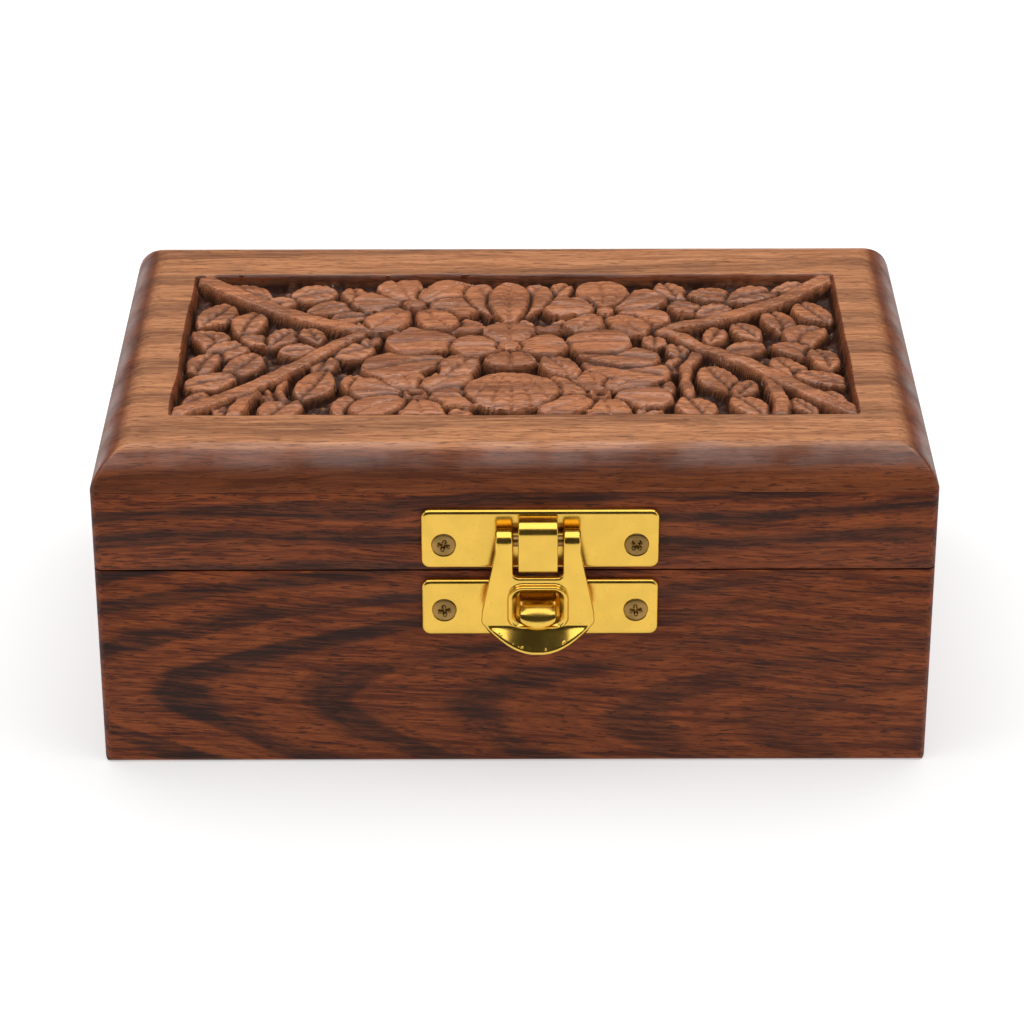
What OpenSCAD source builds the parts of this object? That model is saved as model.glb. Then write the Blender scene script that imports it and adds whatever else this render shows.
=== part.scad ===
// Carved hardwood keepsake box with a hinged lid and a brass hasp latch.
// Millimetres, +Z up, +X to the right, the latch faces -Y.
// The origin is the centre of the face that the box stands on.

/* [Box] */
// Outside width, left to right
box_w = 150; // [130:1:240]
// Outside depth, front to back
box_d = 100; // [85:1:180]
// Height of the base, from its foot to its rim
base_h = 39.5; // [32:0.5:90]
// Height of the lid, from its rim to its top
lid_h = 22; // [20:0.5:40]
// Thickness of the boards of the base and of the rails of the lid
wall_t = 8; // [8:0.5:12]
// Thickness of the floor board
floor_t = 6; // [3:0.5:12]
// Gap between the two rims when the lid is shut
seam_gap = 0.3; // [0.2:0.1:0.8]
// Radius of the upright corners
corner_r = 1.7; // [0.5:0.1:3]
// Radius of the edge round the foot
foot_r = 1; // [0.3:0.1:2]

/* [Carved top] */
// Thickness of the carved top plank
plank_t = 6.8; // [6.7:0.1:10]
// Height of the rounded edge round the plank
edge_drop = 6.6; // [3:0.1:6.6]
// Angle by which the rounded edge falls short of meeting its faces smoothly
edge_crease = 12; // [4:1:20]
// Depth of the carved field
recess_depth = 3.4; // [2:0.1:4.5]
// Flat border at the left and right of the field
border_side = 13.5; // [9:0.5:25]
// Flat border in front of the field
border_front = 18.5; // [12:0.5:30]
// Flat border behind the field
border_back = 19.5; // [12:0.5:30]
// Depth of the highest carving below the top of the plank
relief_set = 0.3; // [0.1:0.1:1]
// Depth of the leaves and stems below the highest carving
leaf_set = 0.6; // [0.2:0.1:1.2]
// Width of the carved stems
stem_w = 4.2; // [3:0.1:6]

/* [Latch plates] */
// Distance of the latch's middle to the right of the box's middle
latch_x = 4.5; // [-8:0.1:8]
// Width of both brass plates
plate_w = 42.4; // [38:0.2:56]
// Height of the upper plate
upper_plate_h = 11.6; // [11:0.1:13]
// Height of the lower plate
lower_plate_h = 11.2; // [10:0.1:16]
// Thickness of both plates
plate_t = 1.1; // [0.8:0.1:1.5]
// Radius of the plates' corners
plate_corner_r = 1.6; // [0.5:0.1:3]
// Distance of the upper plate above the rim of the lid
upper_plate_set = 0.6; // [0.4:0.1:2]
// Distance of the lower plate below the rim of the base
lower_plate_set = 1.4; // [0.6:0.1:3]
// Distance between the screws of a plate
screw_span = 34.2; // [32:0.2:44]
// Distance of the upper screws below the middle of their plate
upper_screw_drop = 1; // [0:0.1:1.5]
// Distance of the lower screws below the middle of their plate
lower_screw_drop = 0.4; // [0:0.1:1.5]

/* [Hasp] */
// Sideways place of the hasp on its plates
hasp_shift = -0.4; // [-1:0.1:1]
// Radius of the hasp's pin
pin_r = 1; // [0.8:0.05:1.3]
// Radial clearance of the hasp on its pin
pin_clear = 0.05; // [0.02:0.01:0.1]
// Thickness of the hasp and of the strap that holds it
hasp_t = 1.1; // [0.8:0.1:1.4]
// Gap between the turning hasp and the plate behind it
hasp_gap = 0.25; // [0.2:0.05:0.6]
// Distance of the pin below the top of the upper plate
pin_drop = 4.7; // [4.5:0.1:5.2]
// Height of the strap's bend above the pin
strap_rise = 1.7; // [1:0.1:2]
// Width of the strap
strap_w = 7; // [5:0.1:9]
// Length of the strap below the pin
strap_l = 5.6; // [4:0.1:5.9]
// Width of the hasp at its pin
hasp_top_w = 15.2; // [14:0.1:18]
// Width of the hasp at its widest
hasp_low_w = 20; // [18:0.1:26]
// Length of the hasp from the pin to the bend of its lip
hasp_l = 16.6; // [16.6:0.1:22]
// Length of the lip beyond the bend
lip_l = 5.2; // [3:0.1:6]
// Height over which the widest part of the hasp narrows to the bend
hasp_turn = 1.6; // [0.5:0.1:3]
// Distance by which each side of the lip stands in from the hasp's widest part
lip_set = 0.55; // [0.3:0.05:1.5]
// Angle by which the lip turns away from the box
lip_angle = 52; // [20:1:60]
// Length of the upper window, from the pin to its lower edge
slot_l = 6.4; // [6.4:0.1:6.7]
// Side gap between the hasp and the strap
slot_side = 0.9; // [0.3:0.1:1.2]
// Width of the lower window
window_w = 7.8; // [7.6:0.1:9]
// Height of the lower window
window_h = 8; // [7:0.1:8]
// Width of the raised rim round the lower window
collar_t = 1.3; // [0.8:0.1:1.8]
// Height of the raised rim round the lower window
collar_h = 1; // [0.5:0.1:1.5]

/* [Catch] */
// Width of the spring catch
catch_w = 6.6; // [5:0.1:6.8]
// Outside radius of the bend of the catch
catch_r = 2.2; // [2:0.1:2.6]
// Angle by which the bend of the catch runs on below its front
catch_turn = 35; // [20:1:60]
// Thickness of the catch
catch_t = 0.8; // [0.5:0.1:1]
// How far the catch stands through the hasp
catch_proud = 0.9; // [0.5:0.1:1.3]
// Gap between the end of the catch and the lower edge of the window
catch_clear = 0.25; // [0.15:0.05:0.5]

/* [Latch screws] */
// Head radius
screw_head_r = 2.15; // [1.8:0.05:2.4]
// Height of the head's dome above its plate
screw_dome = 0.25; // [0.1:0.05:0.4]
// Shank radius
screw_shank_r = 0.9; // [0.6:0.05:1.1]
// Thickness of wood left behind each screw's point
screw_cover = 1.5; // [1:0.1:3]

/* [Hinges] */
// Length of each hinge
hinge_l = 22; // [18:0.5:32]
// Distance between the middles of the hinges
hinge_span = 86; // [60:1:96]
// Distance of the hinges' axis inside the back face
hinge_inset = 1.5; // [1:0.1:2]
// Radius of the knuckles
knuckle_r = 1.6; // [1.4:0.05:2]
// Radius of the hinge pins
hinge_pin_r = 0.8; // [0.6:0.05:0.9]
// Radial clearance of the knuckles on their pin
hinge_clear = 0.05; // [0.02:0.01:0.1]
// Thickness of the hinge leaves
leaf_t = 1; // [0.8:0.1:1.2]
// Reach of the hinge leaves from their axis towards the front
leaf_reach = 6.1; // [5.6:0.1:6.4]
// Gap between the two leaves of a shut hinge
leaf_gap = 0.2; // [0.1:0.05:0.2]
// Opening angle at which the bevelled back edges meet
open_angle = 100; // [90:1:110]

/* [Hidden] */
$fn = 64;
eps = 0.01;

// Levels of the box
lid_z = base_h + seam_gap;
top_z = lid_z + lid_h;
plank_z = top_z - plank_t;
face_y = -box_d / 2;
side_run = box_d - 2 * wall_t;

// The rounded edge: a circle whose centre lies edge_in inside both faces
edge_r = edge_drop / (cos(edge_crease) - sin(edge_crease));
edge_in = edge_r * cos(edge_crease);

// The carved field
field_w = box_w - 2 * border_side;
field_d = box_d - border_front - border_back;
field_y = (border_front - border_back) / 2;
ground_z = top_z - recess_depth;
petal_z = top_z - relief_set;
leaf_z = petal_z - leaf_set;
// Depth to which the carving is rooted in the wood under and round it
carve_root = 1;

// The latch, from the rims outwards
upper_plate_z = lid_z + upper_plate_set;
lower_plate_z = base_h - lower_plate_set - lower_plate_h;
plate_face = face_y - plate_t;
hasp_x = latch_x + hasp_shift;
bore_r = pin_r + pin_clear;
roll_r = bore_r + hasp_t;
pin_z = upper_plate_z + upper_plate_h - pin_drop;
pin_y = plate_face - hasp_gap - roll_r;
strap_z = pin_z + strap_rise;
hasp_front = pin_y - roll_r;
bend_z = pin_z - hasp_l;
window_z = bend_z;
catch_mid = [
    hasp_front - catch_proud + catch_r,
    window_z + catch_clear + catch_r * sin(catch_turn)
];

// The hinges
axis_y = box_d / 2 - hinge_inset;
axis_z = base_h + seam_gap / 2;
hinge_x = [-hinge_span / 2, hinge_span / 2];
knuckles = 5;
knuckle_l = hinge_l / knuckles;
knuckle_gap = 0.1;
barrel_room = 0.25;
bevel_angle = open_angle / 2 + 0.5;
hinge_head_r = 1.5;
hinge_shank_r = 0.7;
hinge_screw_l = 7;
hinge_screw_x = hinge_l * 0.27;
hinge_screw_y = -(leaf_reach + knuckle_r) / 2;
mortise_room = 0.1;

// Clearance of a screw's head in its countersink
seat_clear = 0.03;

// Step between the side of the hasp's flat and the side of its lip
edge_step = 0.05;

// ---------------------------------------------------------------- outline of the box

// A shape drawn in (Y, Z), drawn out along X
module along_x(length) {
    rotate([90, 0, 90]) linear_extrude(length, center = true) children();
}

// A shape drawn in (X, Z), drawn out along Y
module along_y(length) {
    rotate([90, 0, 0]) linear_extrude(length, center = true) children();
}

module plan_2d() {
    square([box_w - 2 * corner_r, box_d], center = true);
    square([box_w, box_d - 2 * corner_r], center = true);
    for (x = [-1, 1], y = [-1, 1])
        translate([x * (box_w / 2 - corner_r), y * (box_d / 2 - corner_r)]) circle(corner_r);
}

// Upright section of the base with its rounded foot
module foot_2d(width) {
    translate([-width / 2, foot_r]) square([width, base_h - foot_r]);
    translate([foot_r - width / 2, 0]) square([width - 2 * foot_r, base_h]);
    for (x = [-1, 1]) translate([x * (width / 2 - foot_r), foot_r]) circle(foot_r);
}

// Upright section of the lid with its rounded shoulders
module crown_2d(width) {
    difference() {
        translate([-width / 2, 0]) square([width, lid_h]);
        for (x = [-1, 1]) difference() {
            translate([x * width / 2, lid_h]) square(2 * edge_drop, center = true);
            translate([x * (width / 2 - edge_in), lid_h - edge_in]) circle(edge_r);
        }
    }
}

module base_envelope() {
    intersection() {
        linear_extrude(base_h) plan_2d();
        along_y(box_d + 2) foot_2d(box_w);
        along_x(box_w + 2) foot_2d(box_d);
    }
}

module lid_envelope() {
    translate([0, 0, lid_z]) intersection() {
        linear_extrude(lid_h) plan_2d();
        along_y(box_d + 2) crown_2d(box_w);
        along_x(box_w + 2) crown_2d(box_d);
    }
}

// A block between two heights, drawn from its middle
module board(size, at, low, high) {
    translate([at[0] - size[0] / 2, at[1] - size[1] / 2, low]) cube([size[0], size[1], high - low]);
}

// ---------------------------------------------------------------- room for the fittings

// Wedge cut from a back rim so that the two rims meet when the lid is open; up is 1 or -1
module back_bevel(rim, up) {
    run = hinge_inset + 1;
    along_x(box_w + 2) polygon([
        [axis_y, rim - up * eps], [axis_y, rim],
        [axis_y + run, rim + up * run * tan(bevel_angle)], [axis_y + run, rim - up * eps]
    ]);
}

// Mortises for the leaves and the barrel, with the screws' holes; up is 1 for the lid
module hinge_room(up) {
    depth = leaf_t + leaf_gap / 2;
    for (x = hinge_x) translate([x, axis_y, axis_z]) {
        translate([-hinge_l / 2 - mortise_room, -leaf_reach, up > 0 ? -1 : -depth])
            cube([hinge_l + 2 * mortise_room, leaf_reach, depth + 1]);
        rotate([0, 90, 0])
            cylinder(r = knuckle_r + barrel_room, h = hinge_l + 2 * mortise_room, center = true);
        for (s = [-1, 1]) translate([s * hinge_screw_x, hinge_screw_y, 0])
            mirror([0, 0, up > 0 ? 0 : 1]) cylinder(r = hinge_shank_r, h = hinge_screw_l);
    }
}

// Holes for the screws of a latch plate whose middle is at height z
module latch_screw_room(z) {
    for (s = [-1, 1]) translate([latch_x + s * screw_span / 2, face_y + wall_t - screw_cover, z])
        rotate([90, 0, 0]) cylinder(r = screw_shank_r, h = wall_t);
}

function upper_screw_z() = upper_plate_z + upper_plate_h / 2 - upper_screw_drop;
function lower_screw_z() = lower_plate_z + lower_plate_h / 2 - lower_screw_drop;

// ---------------------------------------------------------------- base

module base_front_board() {
    color("#8a4526") difference() {
        intersection() {
            base_envelope();
            board([box_w, wall_t], [0, face_y + wall_t / 2], 0, base_h);
        }
        latch_screw_room(lower_screw_z());
    }
}

module base_back_board() {
    color("#7d4124") difference() {
        intersection() {
            base_envelope();
            board([box_w, wall_t], [0, -face_y - wall_t / 2], 0, base_h);
        }
        back_bevel(base_h, -1);
        hinge_room(-1);
    }
}

module base_side_board(side) {
    intersection() {
        base_envelope();
        board([wall_t, side_run], [side * (box_w - wall_t) / 2, 0], 0, base_h);
    }
}

module base_left_board() { color("#90502c") base_side_board(-1); }
module base_right_board() { color("#90502c") base_side_board(1); }

module base_floor() {
    color("#6f3c22") board([box_w - 2 * wall_t, side_run], [0, 0], 0, floor_t);
}

// ---------------------------------------------------------------- lid

module lid_front_rail() {
    color("#8f4a2a") difference() {
        intersection() {
            lid_envelope();
            board([box_w, wall_t], [0, face_y + wall_t / 2], lid_z, plank_z);
        }
        latch_screw_room(upper_screw_z());
    }
}

module lid_back_rail() {
    color("#7d4124") difference() {
        intersection() {
            lid_envelope();
            board([box_w, wall_t], [0, -face_y - wall_t / 2], lid_z, plank_z);
        }
        back_bevel(lid_z, 1);
        hinge_room(1);
    }
}

module lid_side_rail(side) {
    intersection() {
        lid_envelope();
        board([wall_t, side_run], [side * (box_w - wall_t) / 2, 0], lid_z, plank_z);
    }
}

module lid_left_rail() { color("#90502c") lid_side_rail(-1); }
module lid_right_rail() { color("#90502c") lid_side_rail(1); }

// The carving. Places are shares of half the field, from its middle, so that the
// pattern keeps its layout on a longer or a wider lid; sizes are in millimetres.
function in_field(p) = [p[0] * field_w / 2, p[1] * field_d / 2];

// A leaf is the overlap of two equal circles
module leaf_2d(at, length, width, angle) {
    r = (length * length + width * width) / (4 * width);
    translate(in_field(at)) rotate(angle) intersection() {
        translate([0, r - width / 2]) circle(r);
        translate([0, width / 2 - r]) circle(r);
    }
}

// A stem is a row of straight lengths with a slight knot at each joint
module stem_2d(points, width) {
    for (i = [0 : len(points) - 2]) {
        a = in_field(points[i]);
        b = in_field(points[i + 1]);
        translate(a) rotate(atan2(b[1] - a[1], b[0] - a[0]))
            translate([0, -width / 2]) square([norm(b - a), width]);
        translate(b) circle(width * 0.53);
    }
}

// Five petals round a boss
module flower_2d(at, reach, petal_r, turn) {
    translate(in_field(at)) {
        for (k = [0 : 4]) rotate(turn + 72 * k) translate([reach, 0]) circle(petal_r);
        circle(reach - petal_r / 2);
    }
}

module stems_and_leaves_2d() {
    for (s = [-1, 1]) {
        stem_2d([[s * 0.97, 0.96], [s * 0.62, 0.42], [s * 0.3, 0.24], [0, 0.27]], stem_w);
        stem_2d([[s * 0.97, -0.93], [s * 0.68, -0.34], [s * 0.47, 0.14]], stem_w);
        stem_2d([[s * 0.78, -0.5], [s * 0.82, -0.97]], stem_w * 0.7);
        leaf_2d([s * 0.91, 0.5], 13, 7, 90 - s * 12);
        leaf_2d([s * 0.82, 0.33], 11, 6.5, 90 + s * 14);
        leaf_2d([s * 0.88, -0.18], 12, 6.5, 90 - s * 16);
        leaf_2d([s * 0.9, -0.5], 11, 7, 90 + s * 4);
        leaf_2d([s * 0.71, 0.14], 10, 6, 90 + s * 30);
        leaf_2d([s * 0.63, 0.84], 11, 7, 90 - s * 24);
        leaf_2d([s * 0.6, -0.52], 15, 7.5, 90 + s * 4);
        leaf_2d([s * 0.6, -0.84], 12, 7.5, 90);
        leaf_2d([s * 0.45, -0.82], 11, 5, 90 - s * 25);
        leaf_2d([s * 0.16, -0.28], 12, 6, 90 - s * 22);
    }
}

module petals_2d() {
    flower_2d([-0.31, 0.6], 6.2, 4.1, 54);
    flower_2d([0.28, 0.5], 6.2, 4.1, 90);
    flower_2d([-0.3, -0.67], 5.8, 3.7, 90);
    flower_2d([0.26, -0.67], 5.8, 3.7, 90);
    for (s = [-1, 1]) {
        translate(in_field([s * 0.28, 0.06])) circle(6);
        translate(in_field([s * 0.33, -0.26])) circle(7);
    }
    for (x = [-0.09, 0, 0.08]) translate(in_field([x, 0])) circle(3.6);
    translate(in_field([-0.01, -0.62])) circle(8.4);
    leaf_2d([-0.02, 0.63], 20, 11, 90);
}

// Ends the carving inside the wood of the border
module in_border_2d() {
    intersection() {
        square([field_w + 2 * carve_root, field_d + 2 * carve_root], center = true);
        children();
    }
}

module lid_top_panel() {
    color("#b0673c") {
        difference() {
            intersection() {
                lid_envelope();
                board([box_w, box_d], [0, 0], plank_z, top_z);
            }
            board([field_w, field_d], [0, field_y], ground_z, top_z + 1);
        }
        translate([0, field_y, ground_z - carve_root]) {
            linear_extrude(leaf_z - ground_z + carve_root) in_border_2d() stems_and_leaves_2d();
            linear_extrude(petal_z - ground_z + carve_root) in_border_2d() petals_2d();
        }
    }
}

// ---------------------------------------------------------------- latch

module plate_2d(height) {
    w = plate_w / 2 - plate_corner_r;
    h = height / 2 - plate_corner_r;
    square([plate_w, 2 * h], center = true);
    square([2 * w, height], center = true);
    for (x = [-w, w], y = [-h, h]) translate([x, y]) circle(plate_corner_r);
}

// A plate against the front of the box, countersunk for its screws
module latch_plate(low, height, screw_z) {
    difference() {
        translate([latch_x, face_y - plate_t / 2, low + height / 2]) along_y(plate_t) plate_2d(height);
        for (s = [-1, 1]) translate([latch_x + s * screw_span / 2, face_y, screw_z])
            rotate([90, 0, 0]) translate([0, 0, -eps])
                cylinder(r1 = screw_shank_r + seat_clear, r2 = screw_head_r + seat_clear,
                    h = plate_t + 2 * eps);
    }
}

// Loop of the strap round the pin: two rolls, one above the other, and the block between
module strap_2d() {
    for (z = [pin_z, strap_z]) translate([pin_y, z]) circle(roll_r);
    translate([pin_y - roll_r, pin_z]) square([2 * roll_r, strap_z - pin_z]);
}

// Upper plate with the strap that is rolled round the pin and hangs in front of it
module upper_latch_plate() {
    color("goldenrod") difference() {
        union() {
            latch_plate(upper_plate_z, upper_plate_h, upper_screw_z());
            translate([hasp_x, 0, 0]) {
                along_x(strap_w) strap_2d();
                board([strap_w, plate_face - pin_y + eps], [0, (plate_face + eps + pin_y) / 2],
                    strap_z + bore_r, strap_z + roll_r);
                board([strap_w, hasp_t], [0, hasp_front + hasp_t / 2], pin_z - strap_l, strap_z);
            }
        }
        translate([hasp_x, pin_y, pin_z]) rotate([0, 90, 0])
            cylinder(r = bore_r, h = strap_w + 2, center = true);
    }
}

module lower_latch_plate() {
    color("goldenrod") difference() {
        latch_plate(lower_plate_z, lower_plate_h, lower_screw_z());
        catch_root(plate_t + 2 * eps, face_y + eps);
    }
}

// Length of the catch that sits in its plate, from depth y outwards
module catch_root(length, y) {
    high = catch_mid[1] + catch_r;
    board([catch_w, length], [hasp_x, y - length / 2], high - catch_t, high);
}

// A strip that runs out of the lower plate and bends down through the hasp's window
module spring_catch() {
    color("gold") {
        catch_root(face_y - catch_mid[0] + eps, face_y);
        translate([hasp_x, 0, 0]) along_x(catch_w) translate(catch_mid) difference() {
            circle(catch_r);
            circle(catch_r - catch_t);
            translate([0, -2 * catch_r]) square(4 * catch_r);
            translate([-2 * catch_r, -2 * catch_r])
                square([4 * catch_r, catch_r * (2 - sin(catch_turn))]);
        }
    }
}

module hasp_pin() {
    color("darkgoldenrod") translate([hasp_x, pin_y, pin_z]) rotate([0, 90, 0])
        cylinder(r = pin_r, h = hasp_top_w, center = true);
}

// Outline of the flat of the hasp, from the pin down to the bend
module hasp_2d() {
    top = hasp_top_w / 2;
    low = hasp_low_w / 2;
    polygon([
        [-top, 0], [top, 0], [low, hasp_turn - hasp_l], [low - lip_set, -hasp_l],
        [lip_set - low, -hasp_l], [-low, hasp_turn - hasp_l]
    ]);
}

module hasp() {
    slot_w = strap_w + 2 * slot_side;
    lip_w = hasp_low_w - 2 * (lip_set + edge_step);
    lip_r = (lip_w * lip_w / 4 + lip_l * lip_l) / (2 * lip_l);
    collar_w = window_w + 2 * collar_t;
    color("gold") translate([hasp_x, 0, 0]) difference() {
        union() {
            translate([0, hasp_front + hasp_t / 2, pin_z]) along_y(hasp_t) hasp_2d();
            translate([0, pin_y, pin_z]) rotate([0, 90, 0])
                cylinder(r = roll_r, h = hasp_top_w, center = true);
            // Lip, turned about the bend
            translate([0, hasp_front + hasp_t, bend_z]) rotate([-lip_angle, 0, 0])
                translate([0, -hasp_t / 2, 0]) along_y(hasp_t) intersection() {
                    translate([0, lip_r - lip_l]) circle(lip_r);
                    translate([-lip_w / 2, -lip_l]) square([lip_w, lip_l + lip_set]);
                }
            // Raised rim round the lower window
            board([collar_w, collar_h + eps], [0, hasp_front - collar_h / 2 + eps],
                window_z, window_z + window_h + collar_t);
        }
        // Lower window, through the rim and the flat
        board([window_w, collar_h + hasp_t + 2], [0, hasp_front], window_z, window_z + window_h);
        // Upper window, round the strap
        board([slot_w, 4 * roll_r], [0, pin_y], pin_z - slot_l, pin_z + 2 * roll_r);
        translate([0, pin_y, pin_z]) rotate([0, 90, 0])
            cylinder(r = bore_r, h = hasp_top_w + 2, center = true);
    }
}

// ---------------------------------------------------------------- screws

// Countersunk screw along +Z, its head's rim at zero and its dome above
module screw(head_r, shank_r, seat, dome, length) {
    rotate_extrude() polygon([
        [0, dome], [head_r * 0.6, dome * 0.8], [head_r, 0],
        [shank_r, -seat], [shank_r, 0.5 - length], [0, -length]
    ]);
}

module latch_screws(z) {
    for (s = [-1, 1]) translate([latch_x + s * screw_span / 2, plate_face, z]) rotate([90, 0, 0])
        screw(screw_head_r, screw_shank_r, plate_t, screw_dome, plate_t + wall_t - screw_cover);
}

module upper_plate_screws() { color("peru") latch_screws(upper_screw_z()); }
module lower_plate_screws() { color("peru") latch_screws(lower_screw_z()); }

module hinge_screws(up) {
    color("peru") for (x = hinge_x, s = [-1, 1])
        translate([x + s * hinge_screw_x, axis_y + hinge_screw_y, axis_z + up * leaf_gap / 2])
            mirror([0, 0, up > 0 ? 1 : 0])
                screw(hinge_head_r, hinge_shank_r, leaf_t, 0, hinge_screw_l - leaf_gap);
}

module hinge_base_screws() { hinge_screws(-1); }
module hinge_lid_screws() { hinge_screws(1); }

// ---------------------------------------------------------------- hinges

// One leaf with its knuckles: the lid's leaf (up = 1) has the second and the fourth
module hinge_leaf(up, x) {
    plate_l = leaf_reach - knuckle_r - 0.2;
    first = up > 0 ? 1 : 0;
    color("goldenrod") translate([x, axis_y, axis_z]) mirror([0, 0, up > 0 ? 0 : 1]) difference() {
        union() {
            translate([-hinge_l / 2, -leaf_reach, leaf_gap / 2]) cube([hinge_l, plate_l, leaf_t]);
            for (k = [first : 2 : knuckles - 1])
                translate([k * knuckle_l - hinge_l / 2 + knuckle_gap / 2, 0, 0]) {
                    rotate([0, 90, 0]) cylinder(r = knuckle_r, h = knuckle_l - knuckle_gap);
                    translate([0, -leaf_reach + eps, leaf_gap / 2])
                        cube([knuckle_l - knuckle_gap, leaf_reach, leaf_t]);
                }
        }
        rotate([0, 90, 0]) cylinder(r = hinge_pin_r + hinge_clear, h = hinge_l + 2, center = true);
        for (s = [-1, 1]) translate([s * hinge_screw_x, hinge_screw_y, leaf_gap / 2 - eps])
            cylinder(r1 = hinge_head_r + seat_clear, r2 = hinge_shank_r + seat_clear,
                h = leaf_t + 2 * eps);
    }
}

module hinge_pin(x) {
    color("darkgoldenrod") translate([x, axis_y, axis_z]) rotate([0, 90, 0])
        cylinder(r = hinge_pin_r, h = hinge_l, center = true);
}

module left_hinge_base_leaf() { hinge_leaf(-1, hinge_x[0]); }
module right_hinge_base_leaf() { hinge_leaf(-1, hinge_x[1]); }
module left_hinge_lid_leaf() { hinge_leaf(1, hinge_x[0]); }
module right_hinge_lid_leaf() { hinge_leaf(1, hinge_x[1]); }
module left_hinge_pin() { hinge_pin(hinge_x[0]); }
module right_hinge_pin() { hinge_pin(hinge_x[1]); }

base_front_board();
base_back_board();
base_left_board();
base_right_board();
base_floor();
lower_latch_plate();
spring_catch();
lower_plate_screws();
left_hinge_base_leaf();
right_hinge_base_leaf();
left_hinge_pin();
right_hinge_pin();
hinge_base_screws();
lid_top_panel();
lid_front_rail();
lid_back_rail();
lid_left_rail();
lid_right_rail();
upper_latch_plate();
hasp_pin();
upper_plate_screws();
left_hinge_lid_leaf();
right_hinge_lid_leaf();
hinge_lid_screws();
hasp();
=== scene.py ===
# %% [markdown]
# # A carved rosewood keepsake box with a brass hasp
#
# The box is a small chest of dark Indian rosewood. Its base is four boards round a floor, and its
# lid is four rails under a plank whose top is carved with flowers, leaves and branches. Two
# brass butt hinges join them at the back, and a hasp on the lid snaps over a spring catch on
# the base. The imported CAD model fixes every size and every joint. This lesson gives each piece
# the surface, the edges and the finish of the real one.

# %% Load the frame
import math

import bmesh
import bpy
import numpy as np
from mathutils import Matrix, Vector, geometry


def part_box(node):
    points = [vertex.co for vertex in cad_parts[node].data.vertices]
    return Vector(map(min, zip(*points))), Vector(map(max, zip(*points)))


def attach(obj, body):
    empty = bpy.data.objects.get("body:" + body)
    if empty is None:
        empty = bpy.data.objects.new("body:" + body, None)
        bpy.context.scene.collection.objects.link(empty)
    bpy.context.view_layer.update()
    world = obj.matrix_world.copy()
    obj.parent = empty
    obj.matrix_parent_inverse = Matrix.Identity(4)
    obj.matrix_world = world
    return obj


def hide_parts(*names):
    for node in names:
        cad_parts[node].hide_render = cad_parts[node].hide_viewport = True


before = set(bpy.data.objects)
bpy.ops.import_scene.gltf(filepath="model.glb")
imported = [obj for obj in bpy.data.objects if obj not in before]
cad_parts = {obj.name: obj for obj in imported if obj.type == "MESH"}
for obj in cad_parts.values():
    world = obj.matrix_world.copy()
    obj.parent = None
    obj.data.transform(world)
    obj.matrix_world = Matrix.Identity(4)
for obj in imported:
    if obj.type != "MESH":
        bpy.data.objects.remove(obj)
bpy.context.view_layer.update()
MM = 0.001

# %% [markdown]
# The sizes that the pieces share are measured on the CAD nodes, so that a change in the CAD
# carries over. Everything below works in millimetres and turns to metres only when a mesh is
# made, because a maker thinks of this box in millimetres.

# %% Measure the CAD nodes


def span(node):
    """Lowest and highest corner of a CAD node, in millimetres."""
    low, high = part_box(node)
    return np.array(low) / MM, np.array(high) / MM


plank_low, plank_high = span("lid_top_panel")
upper_low, upper_high = span("upper_latch_plate")
lower_low, lower_high = span("lower_latch_plate")
hasp_low, hasp_high = span("hasp")
pin_low, pin_high = span("hasp_pin")
catch_low, catch_high = span("spring_catch")
HALF_W = plank_high[0]
HALF_D = plank_high[1]
TOP_Z = plank_high[2]
PIN = (pin_low + pin_high) / 2
print("top of the lid", round(TOP_Z, 2), "hasp pin at", PIN.round(2))

# %% [markdown]
# ## Camera, light and floor
#
# The box is seen from a little above and straight in front, from far enough away that its
# upright edges stay nearly parallel. A long lens does that. The view transform is set to
# Standard, so that white stays white.

# %% Camera
scene = bpy.context.scene
scene.view_settings.view_transform = "Standard"

CAMERA_AT = Vector((-0.00087, -0.6191, 0.3428))
PITCH_DOWN = math.radians(27.128)
YAW = math.radians(0.04)
ROLL = math.radians(-0.11)
LENS_MM = 127.3
SENSOR_MM = 36

sight = Vector((math.sin(YAW) * math.cos(PITCH_DOWN), math.cos(YAW) * math.cos(PITCH_DOWN),
                -math.sin(PITCH_DOWN)))
level = Vector((math.cos(YAW), -math.sin(YAW), 0))
upright = level.cross(sight)
across = math.cos(ROLL) * level + math.sin(ROLL) * upright
upward = math.cos(ROLL) * upright - math.sin(ROLL) * level

lens = bpy.data.cameras.new("portrait lens")
lens.lens = LENS_MM
lens.sensor_width = SENSOR_MM
camera = bpy.data.objects.new("camera", lens)
camera.matrix_world = Matrix((across, upward, -sight)).transposed().to_4x4()
camera.matrix_world.translation = CAMERA_AT
scene.collection.objects.link(camera)
scene.camera = camera
print("camera", lens.lens, "mm lens,", round(CAMERA_AT.length, 3), "m from the box")

# %% [markdown]
# A polished brass hasp shows whatever stands round it, so the lights are chosen for what they
# look like in the brass. One wide cloth box hangs overhead and a little behind. Its front edge
# makes the bright line on each rolled edge, and the dim room below it makes the dark line
# beside that. Two tall panels stand at the sides. The floor is white, and the flat brass
# mirrors it.

# %% Lights
PANEL_OUT = 1.0
ROOM_GLOW = 0.05


def soft_light(name, at, towards, width, height, watts):
    """A flat cloth light that faces a place. Sizes are in metres."""
    lamp = bpy.data.lights.new(name, "AREA")
    lamp.shape = "RECTANGLE"
    lamp.size = width
    lamp.size_y = height
    lamp.energy = watts
    stand = bpy.data.objects.new(name, lamp)
    stand.location = at
    stand.rotation_euler = (Vector(towards) - Vector(at)).to_track_quat("-Z", "Y").to_euler()
    scene.collection.objects.link(stand)


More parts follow.
